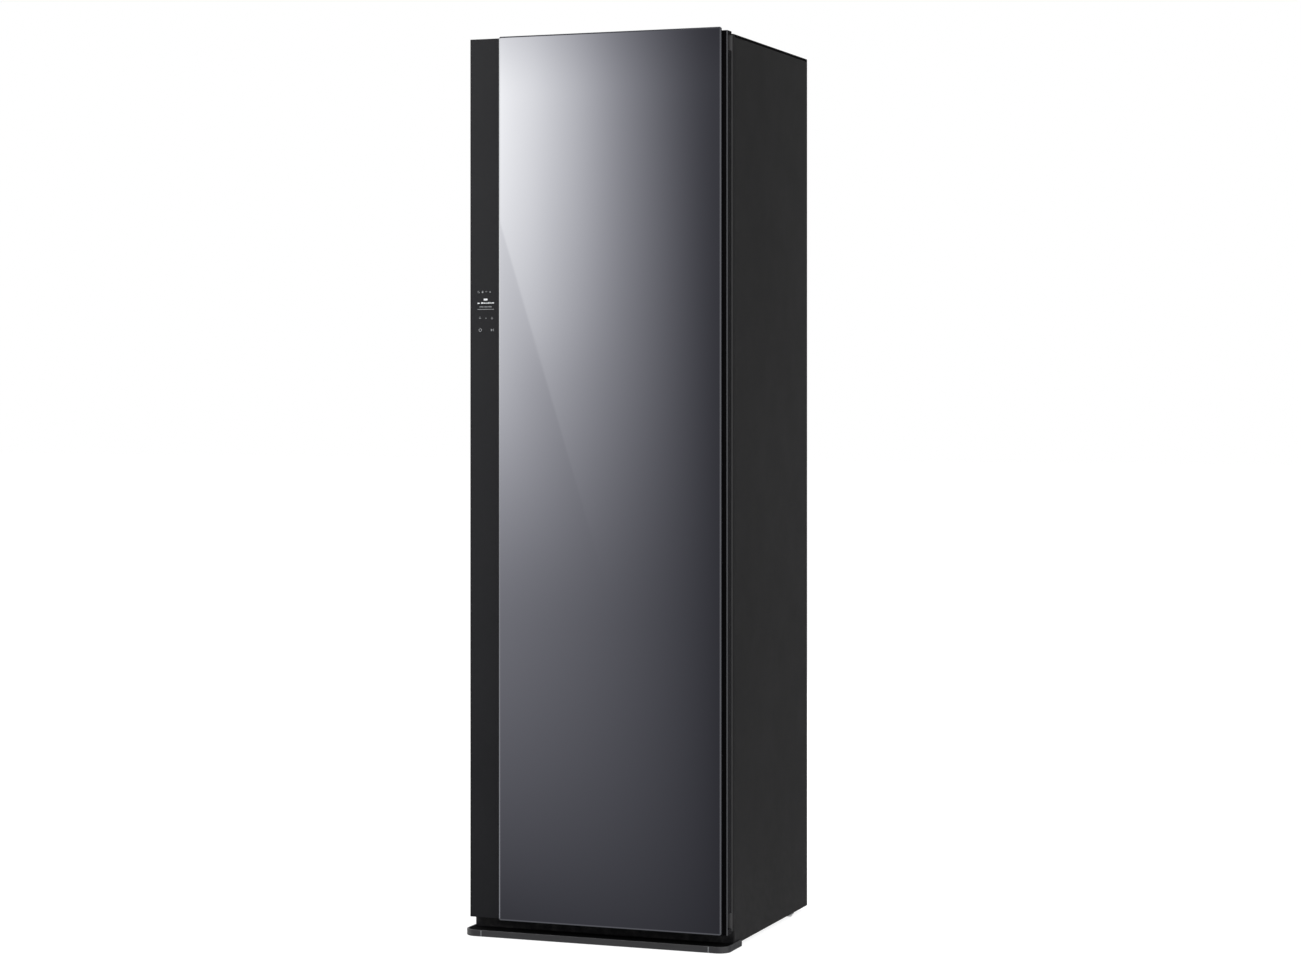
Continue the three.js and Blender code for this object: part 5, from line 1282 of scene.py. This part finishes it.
def compressor():
    """Hermetic compressor: seamed can on a plate with rubber grommets, bolts and a terminal cover."""
    low, high = span("compressor")
    x, y, z = (low.x + high.x) / 2, (low.y + high.y) / 2, low.z
    feet = (x - 53, x + 53), (y - 53, y + 53)
    plate = slab(rectangle(*plan(low, high), 10), z, z + 4, "Z", 0.8)
    dome = [(56.6 * out, 149 + 26 * up) for out, up in (polar(1, angle) for angle in range(0, 90, 9))]
    can = turned([
        (0, 3.5), (48, 3.5), (53, 5), (56, 9), (56.6, 14), (56.6, 88), (58, 88.6), (58, 92.4), (56.6, 93),
        (56.6, 146), *dome, (0, 175)], (x, y, z), "Z", 72)
    cover = block(x - 22, x + 22, y - 64, y - 50, z + 60, z + 112, 3, 4)
    lid_line = block(x - 22.4, x + 22.4, y - 60.5, y - 59.3, z + 59.6, z + 112.4, 0.3, 1)
    stand_in("compressor", gather(plate, can, cover, lid_line))
    grommets = [turned([
        (4, 3.6), (9, 3.6), (9.6, 4.6), (9.6, 8), (8.4, 9), (8.4, 11), (9.4, 12), (9.4, 15), (8.4, 16),
        (4, 16)], foot, "Z", 28, True) for foot in places(*feet, (z,))]
    piece("compressor_grommets", "cabinet", "gasket_rubber", gather(*grommets))
    screws("compressor_bolts", places(*feet, (z + 16,)), (0, 0, 1), 5.5, 2.6, 7)
    pipes = [
        tube(smooth_path([(x + a, y + b, z + c) for a, b, c in points]), 3.2) for points in (
            ((40, 8, 158), (52, 8, 176), (70, 6, 190), (84, 4, 196), (98, 4, 196)),
            ((30, -30, 158), (40, -42, 180), (62, -52, 200), (84, -55, 206), (98, -55, 206)))]
    piece("refrigerant_pipes", "cabinet", "bare_aluminium", gather(*pipes))


def coil(node):
    """Finned coil: thin fins, end plates and tubes with their return bends."""
    low, high = span(node)
    metal, pitch, first = "bare_aluminium", 26.8, (low.y + high.y) / 2 - 10
    fin = block(-0.3, 0.3, low.y + 1, high.y - 1, low.z + 2, high.z - 2, 0)
    fins = rows(fin, metal, (low.x + 13, 0, 0), 60, (2.95, 0, 0))
    ends = [block(x - 1, x + 1, low.y, high.y, low.z, high.z, 0.6) for x in (low.x + 11, high.x - 11)]
    pipe = tube([(low.x + 8, 0, 0), (high.x - 8, 0, 0)], 4, 12)
    pipes = rows(pipe, metal, (0, first, low.z + 20), 2, (0, 20, 0), 8, (0, 0, pitch))
    bends = []
    for side, edge, start, count in ((-1, low.x + 8, 20, 4), (1, high.x - 8, 20 + pitch, 3)):
        turn = [polar(1, angle) for angle in range(0, 181, 15)]
        bend = tube([(edge + side * 7 * b, 0, pitch / 2 * (1 - a)) for a, b in turn], 4, 12)
        bends.append(rows(bend, metal, (0, first, low.z + start), 2, (0, 20, 0), count, (0, 0, 2 * pitch)))
    stand_in(node, gather(fins, pipes, *ends, *bends))


FAN_X, FAN_Z = 20, 340
FAN_CENTRE = (FAN_X, 0, FAN_Z)


def fan_housing():
    """Blower housing with a rolled inlet and four screws."""
    front = span("fan_housing")[0].y
    inlet = turned([
        (44, front + 1), (44, front - 1.6), (45.4, front - 3), (47.4, front - 3), (49, front - 1.4),
        (50, front + 0.4), (50, front + 1)], FAN_CENTRE, "Y", 64, True)
    dressed("fan_housing", 1.2, inlet)
    where = places((FAN_X - 66, FAN_X + 66), (front,), (FAN_Z - 70, FAN_Z + 66))
    screws("fan_screws", where, (0, -1, 0), 3.2, 1.8, 8)


def impeller():
    """Blower wheel: a hub with its back disc, a front ring and curved vanes between them."""
    low, high = span("fan_impeller")
    front, back = low.y, high.y
    disc = turned([
        (3.3, back - 4), (14, back - 30), (16, back - 31.5), (16, back - 5), (18, back - 4), (55, back - 4),
        (56, back - 3.4), (56, back - 0.6), (55.4, back), (3.3, back)], FAN_CENTRE, "Y", 64, True)
    rim = turned([
        (51, front), (55.4, front), (56, front + 0.6), (56, front + 2.6), (55.4, front + 3.2),
        (51, front + 3.2)], FAN_CENTRE, "Y", 64, True)
    outer, inner, steps = [], [], 6
    for step in range(steps + 1):
        share = step / steps
        bend = -4 + 15 * share ** 2
        x, y = polar(39 + 15.4 * share, bend)
        a, b = polar(0.7, bend + math.degrees(0.5))
        outer.append((x - b, y + a))
        inner.append((x + b, y - a))
    vane = slab(outer + inner[::-1], front + 1.4, back - 3, "Y")
    vanes = ring(vane, "light_plastic", 30, FAN_CENTRE, (0, 1, 0))
    stand_in("fan_impeller", gather(disc, rim, vanes))


def fan_motor():
    """Blower motor: shaft, banded can with cooling ribs and a rear boss."""
    low, high = span("fan_motor")
    back, front = high.y, high.y - 45
    can = turned([
        (0, low.y), (2.4, low.y), (3, low.y + 0.6), (3, front - 2), (8, front - 2), (8, front), (27, front),
        (29, front + 1.4), (29, front + 9), (30, front + 9.6), (30, front + 30), (29, front + 30.6),
        (29, back - 4), (27, back - 1), (10, back - 1), (9, back), (0, back)], FAN_CENTRE, "Y", 56)
    rib = block(28.6, 30, front + 11, front + 28, -0.9, 0.9, 0.3, 1)
    stand_in("fan_motor", gather(can, ring(rib, "zinc_steel", 24, FAN_CENTRE, (0, 1, 0))))


def steam_plant():
    """Steam generator with bands and a clamped neck, and a corrugated hose up to the nozzle."""
    low, high = span("steam_generator")
    x, y, top = (low.x + high.x) / 2, (low.y + high.y) / 2, high.z - 30
    body = slab(rectangle(*plan(low, high, 1.5), 9, 8), low.z, top, "Z", 3, 4)
    section = [(0, -2.4), (0, 2.4), (0.8, 3), (3, 3), (3, -3), (0.8, -3)]
    band = carried_round(plan(low, high), 10, section, steps=8, ring=True)
    bands = rows(band, "light_plastic", (0, 0, low.z + 18), 5, (0, 0, 33))
    neck = turned([
        (0, top - 6), (20, top - 6), (20, top + 1.4), (18.6, top + 2.6), (14, top + 3.4), (13, top + 5),
        (13, high.z - 9), (14, high.z - 8), (14, high.z - 6), (13, high.z - 5), (13, high.z - 1),
        (12, high.z), (0, high.z)], (x, y, 0), "Z", 48)
    stand_in("steam_generator", gather(body, bands, neck))
    screws("steam_screws", places((x - 34, x + 34), (y - 29, y + 29), (top,)), (0, 0, 1), 3.2, 1.9, 9)
    low, high = span("steam_hose")
    rise = high.z - low.z
    path = smooth_path([
        (x, y, low.z), (x, y, low.z + rise / 6), (x, y + 12, low.z + rise / 2), (x, y, high.z - rise / 6),
        (x, y, high.z)], 24)
    plain_end = 9
    reach = [
        9 - (0.8 if plain_end <= index < len(path) - plain_end and index % 3 == 1 else 0)
        for index in range(len(path))]
    stand_in("steam_hose", tube(path, reach, 24))
    clamps = []
    for level in (low.z + 8, high.z - 8):
        clamps.append(turned([
            (9.1, -3), (9.7, -3), (9.9, -2.6), (9.9, 2.6), (9.7, 3), (9.1, 3)], (x, y, level), "Z", 40, True))
        clamps.append(block(x - 3, x + 3, y - 14, y - 9.4, level - 3, level + 3, 0.6))
    piece("hose_clamps", "cabinet", "zinc_steel", gather(*clamps))


def pump(node):
    """Water pump: ribbed motor, a stepped head and a spout."""
    low, high = span(node)
    x, y, z = (low.x + high.x) / 2, (low.y + high.y) / 2, low.z
    body = turned([
        (0, 0), (20, 0), (21, 1), (21, 10), (22, 11), (22, 14), (21, 15), (21, 62), (22, 63), (22, 76),
        (21, 78), (15, 78), (15, 86), (14, 87), (14, 90), (15, 91), (15, 98), (13.4, 100), (0, 100)],
        (x, y, z), "Z", 48)
    rib = block(20.6, 21.9, -0.8, 0.8, z + 16, z + 61, 0.3, 1)
    spout = turned([
        (2.4, 10), (4, 10), (4, 20), (4.8, 21), (4, 22.4), (4, 24), (4.6, 25), (3.6, 26.4), (2.4, 26.4)],
        (x, y, z + 92), "X", 24, True)
    stand_in(node, gather(body, ring(rib, "dark_plastic", 20, (x, y, 0)), spout))


def base_pan():
    """Base pan with pressed cross beads."""
    floor = 32
    bead = carried_round((-6, 6, -215, -5), 6, [(0, -0.3), (1.2, 0.8), (2.8, 1.6), (4, 1.8)], floor)
    dressed("base_pan", 0.5, rows(bead, "zinc_steel", (-210, 0, 0), 7, (70, 0, 0)))


compressor()
coil("evaporator")
coil("condenser")
for make in (fan_housing, impeller, fan_motor, steam_plant):
    make()
pump("supply_pump")
pump("drain_pump")
base_pan()


# Drive above the chamber

def crank():
    """Crank disc with a turned rim, lightening holes and its pin."""
    low, high = span("crank_disc")
    y, under, top = (low.y + high.y) / 2, high.z - 6, high.z
    disc = turned([
        (4.3, under), (25.6, under), (27, under + 1), (27, top - 1), (26, top), (11, top), (10, top - 1.2),
        (9, top - 1.2), (8, top), (4.3, top)], (0, y, 0), "Z", 64, True)
    holes = [bore(4.5, under - 1, top + 1, (*polar(17, angle, 0, y), 0), 24) for angle in (90, 180, 270)]
    pin = turned([
        (0, low.z), (3.4, low.z), (4, low.z + 0.6), (4, under + 1), (0, under + 1)], (20, y, 0), "Z", 24)
    stand_in("crank_disc", gather(carved(disc, gather(*holes)), pin))


def gearmotor():
    """Gearmotor on its bridge over the crank, held by four screws."""
    crank_low, crank_high = span("crank_disc")
    low, high = span("hanger_motor")
    y, top = (crank_low.y + crank_high.y) / 2, high.z - 42
    plate = slab(rectangle(low.x, high.x, y - 15, y + 30, 5, 5), top - 3, top, "Z", 0.5)
    legs = [
        block(left, left + 10, low.y + 13, high.y, low.z, top - 1.5, 0.5) for left in (low.x, high.x - 10)]
    motor = turned([
        (0, -9), (3.4, -9), (4, -8.4), (4, -0.5), (27, -0.5), (28, 0.6), (28, 15), (27.2, 15.6), (27.2, 17),
        (24, 17.6), (24, 37), (22, 39.6), (9, 39.6), (8, 41.4), (7, 42), (0, 42)], (0, y, top), "Z", 56)
    stand_in("hanger_motor", gather(plate, motor, *legs))
    screws("motor_screws", places((-40, 40), (y - 8, y + 22), (top,)), (0, 0, 1), 3, 1.8, 11)


def control_box():
    """Control box: a tray with plugs along its front and a vented lid, held by four screws."""
    low, high = span("control_box")
    tray = slab(rectangle(*plan(low, high, 0.8), 6), low.z, high.z - 8, "Z", 0.8)
    lid = slab(rectangle(*plan(low, high), 6), high.z - 7.4, high.z, "Z", 1.2, 3)
    vent = slab(rectangle(-1.6, 1.6, -26, 26, 1.5, 4), high.z - 3, high.z + 2)
    vents = rows(vent, "dark_plastic", (low.x + 33, (low.y + high.y) / 2, 0), 14, (6, 0, 0))
    plug = block(-7, 7, low.y - 5, low.y + 2, low.z + 8, low.z + 22, 0.8)
    plugs = rows(plug, "dark_plastic", (low.x + 24, 0, 0), 5, (24, 0, 0))
    stand_in("control_box", gather(tray, soften(carved(lid, vents), 0.3, 1, 50), plugs))
    where = places((low.x + 10, high.x - 10), (low.y + 10, high.y - 10), (high.z,))
    screws("box_screws", where, (0, 0, 1), 3, 1.8, 12)


crank()
gearmotor()
for node in ("hanger_slider", "slide_rail_front", "slide_rail_rear"):
    dressed(node, 0.5)
control_box()


# Studio: floor, world, lamps and the cards that the glass mirrors

WHITE = (1, 1, 1)


def stage_sheet(name, corners, material):
    mesh = bpy.data.meshes.new(name)
    mesh.from_pydata(corners, [], [tuple(range(len(corners)))])
    mesh.materials.append(material)
    made = bpy.data.objects.new(name, mesh)
    scene.collection.objects.link(made)
    return made


def seen_share(nodes):
    """1 for what the camera sees, plain, in gloss or through glass, and 0 for what lights the object."""
    ray = nodes.node("ShaderNodeLightPath", out="Is Camera Ray")
    return ray + ray.out("Is Glossy Ray") + ray.out("Is Transmission Ray")


def white_floor():
    """A white floor that keeps a faint shadow."""
    finish = Finish("studio_floor")
    glow = finish.node("ShaderNodeEmission", None, {"Color": WHITE, "Strength": 0.78})
    matt = finish.node("ShaderNodeBsdfDiffuse", None, {"Color": tint(WHITE, 0.4)})
    both = finish.node("ShaderNodeAddShader", None, {0: glow, 1: matt})
    plain = finish.node("ShaderNodeBsdfDiffuse", None, {"Color": tint(WHITE, 0.6)})
    material = finish.coat({0: seen_share(finish), 1: plain, 2: both}, "ShaderNodeMixShader")
    corners = rectangle(-40, 40, -40, 40)
    stage_sheet("studio_floor", raised(corners, 0), material).visible_glossy = False


def light_world():
    """White where it is seen, and a little darker where it lights."""
    world = bpy.data.worlds.new("studio_world")
    nodes = Nodes(opened(world))
    level = 0.6 + seen_share(nodes) * 0.4
    background = nodes.node("ShaderNodeBackground", None, {"Color": WHITE, "Strength": level})
    nodes.node("ShaderNodeOutputWorld", None, {"Surface": background})
    scene.world = world


def soft_lamp(name, place, aim, size, power):
    data = bpy.data.lights.new(name, "AREA")
    data.shape = "RECTANGLE"
    data.size = data.size_y = size
    data.energy = power
    made = bpy.data.objects.new(name, data)
    made.location = place
    made.rotation_euler = (Vector(aim) - Vector(place)).to_track_quat("-Z", "Y").to_euler()
    made.visible_glossy = False
    scene.collection.objects.link(made)


def card_height(card):
    """0 a little under the floor, 1 above the cabinet, and onwards beyond both."""
    return card.node("ShaderNodeMapRange", {"clamp": False}, {
        "Value": card.along("Z"), "From Min": -0.5, "From Max": 2.3})


def window_glow(card):
    """Bright at the upper left, falling off to the right and towards the floor; a paler band far right.

    On the left it has a faint upright panel high up, and a slanted edge of light under that.
    """
    x, rise = card.along("X"), card_height(card)
    away = 1 - card.node("ShaderNodeMapRange", None, {"Value": x, "From Min": -1.4, "From Max": -0.64})
    high = card.between(rise, 0.33, 0.97)
    glow = 0.11 + 0.09 * rise + (0.06 + 1.6 * rise + 2.55 * high) * away ** (0.66 + 1.21 * rise)
    glow = glow + 0.12 * away * (1 - away) + 0.24 * card.between(x, 0.75, 1.0)
    panel = card.between(x, -1.4, -1.25) * (1 - card.between(x, -1.15, -0.95)) * card.between(rise, 0.6, 0.7)
    across = x + 0.884 * rise + 0.685
    beside = 1 - card.between(abs(across), 0.0, 0.22)
    slant = (card.between(across, -0.005, 0.005) - 0.7) * beside * card.between(rise, 0.34, 0.68)
    return glow * (1 + 0.07 * panel + 0.15 * slant) * (1 - 0.3 * card.between(rise, 0.93, 1.04))


def strip_glow(card):
    """Dark by the floor and paler upwards."""
    return 0.05 + 1.15 * card_height(card)


def left_edge_glow(card):
    """Pale by the floor and brighter upwards."""
    return 0.8 + 1.8 * card.between(card_height(card), 0.3, 0.85)


def side_glow(card):
    """Nearly black, and wholly so above the cabinet."""
    return 0.08 * (1 - card.between(card_height(card), -0.4, 1.0))


def glossy_card(name, box, y, glow):
    """An upright card that shows in gloss and nowhere else; cool where dim and warm where bright."""
    card = Finish(name)
    strength = glow(card)
    tone = card.blend((strength * 0.2) ** 0.3, (1.02, 1, 1.18), (1.02, 1, 0.912))
    material = card.coat({"Color": tone, "Strength": strength}, "ShaderNodeEmission")
    made = stage_sheet(name, raised(rectangle(*box), y, "Y"), material)
    made.visible_camera = made.visible_diffuse = made.visible_transmission = made.visible_shadow = False


white_floor()
light_world()
soft_lamp("key_lamp", (-3.2, -4.6, 3.6), (0, 0, 1.0), 2.4, 190)
soft_lamp("side_lamp", (4.6, -1.5, 2.6), (0.2, 0, 0.9), 2.2, 110)
soft_lamp("rear_lamp", (0.5, 4.5, 3.2), (0, 0, 1.0), 2.4, 110)

CARD_Y, FLAG_Y = -3, 2.4
glossy_card("window_card", (-1.5, 1.6, -1.2, 3.4), CARD_Y, window_glow)
glossy_card("strip_card", (-4.3, -1.5, -1.2, 3.4), CARD_Y, strip_glow)
glossy_card("left_edge_card", (-12, -4.3, -1.2, 3.4), CARD_Y, left_edge_glow)
glossy_card("upper_card", (-6, 1.6, 3.4, 9), CARD_Y, lambda card: 0.25)
glossy_card("lower_card", (-6, 1.6, -7, -1.2), CARD_Y, lambda card: 0.32)
glossy_card("side_flag", (0.7, 6.5, -4, 5), FLAG_Y, side_glow)
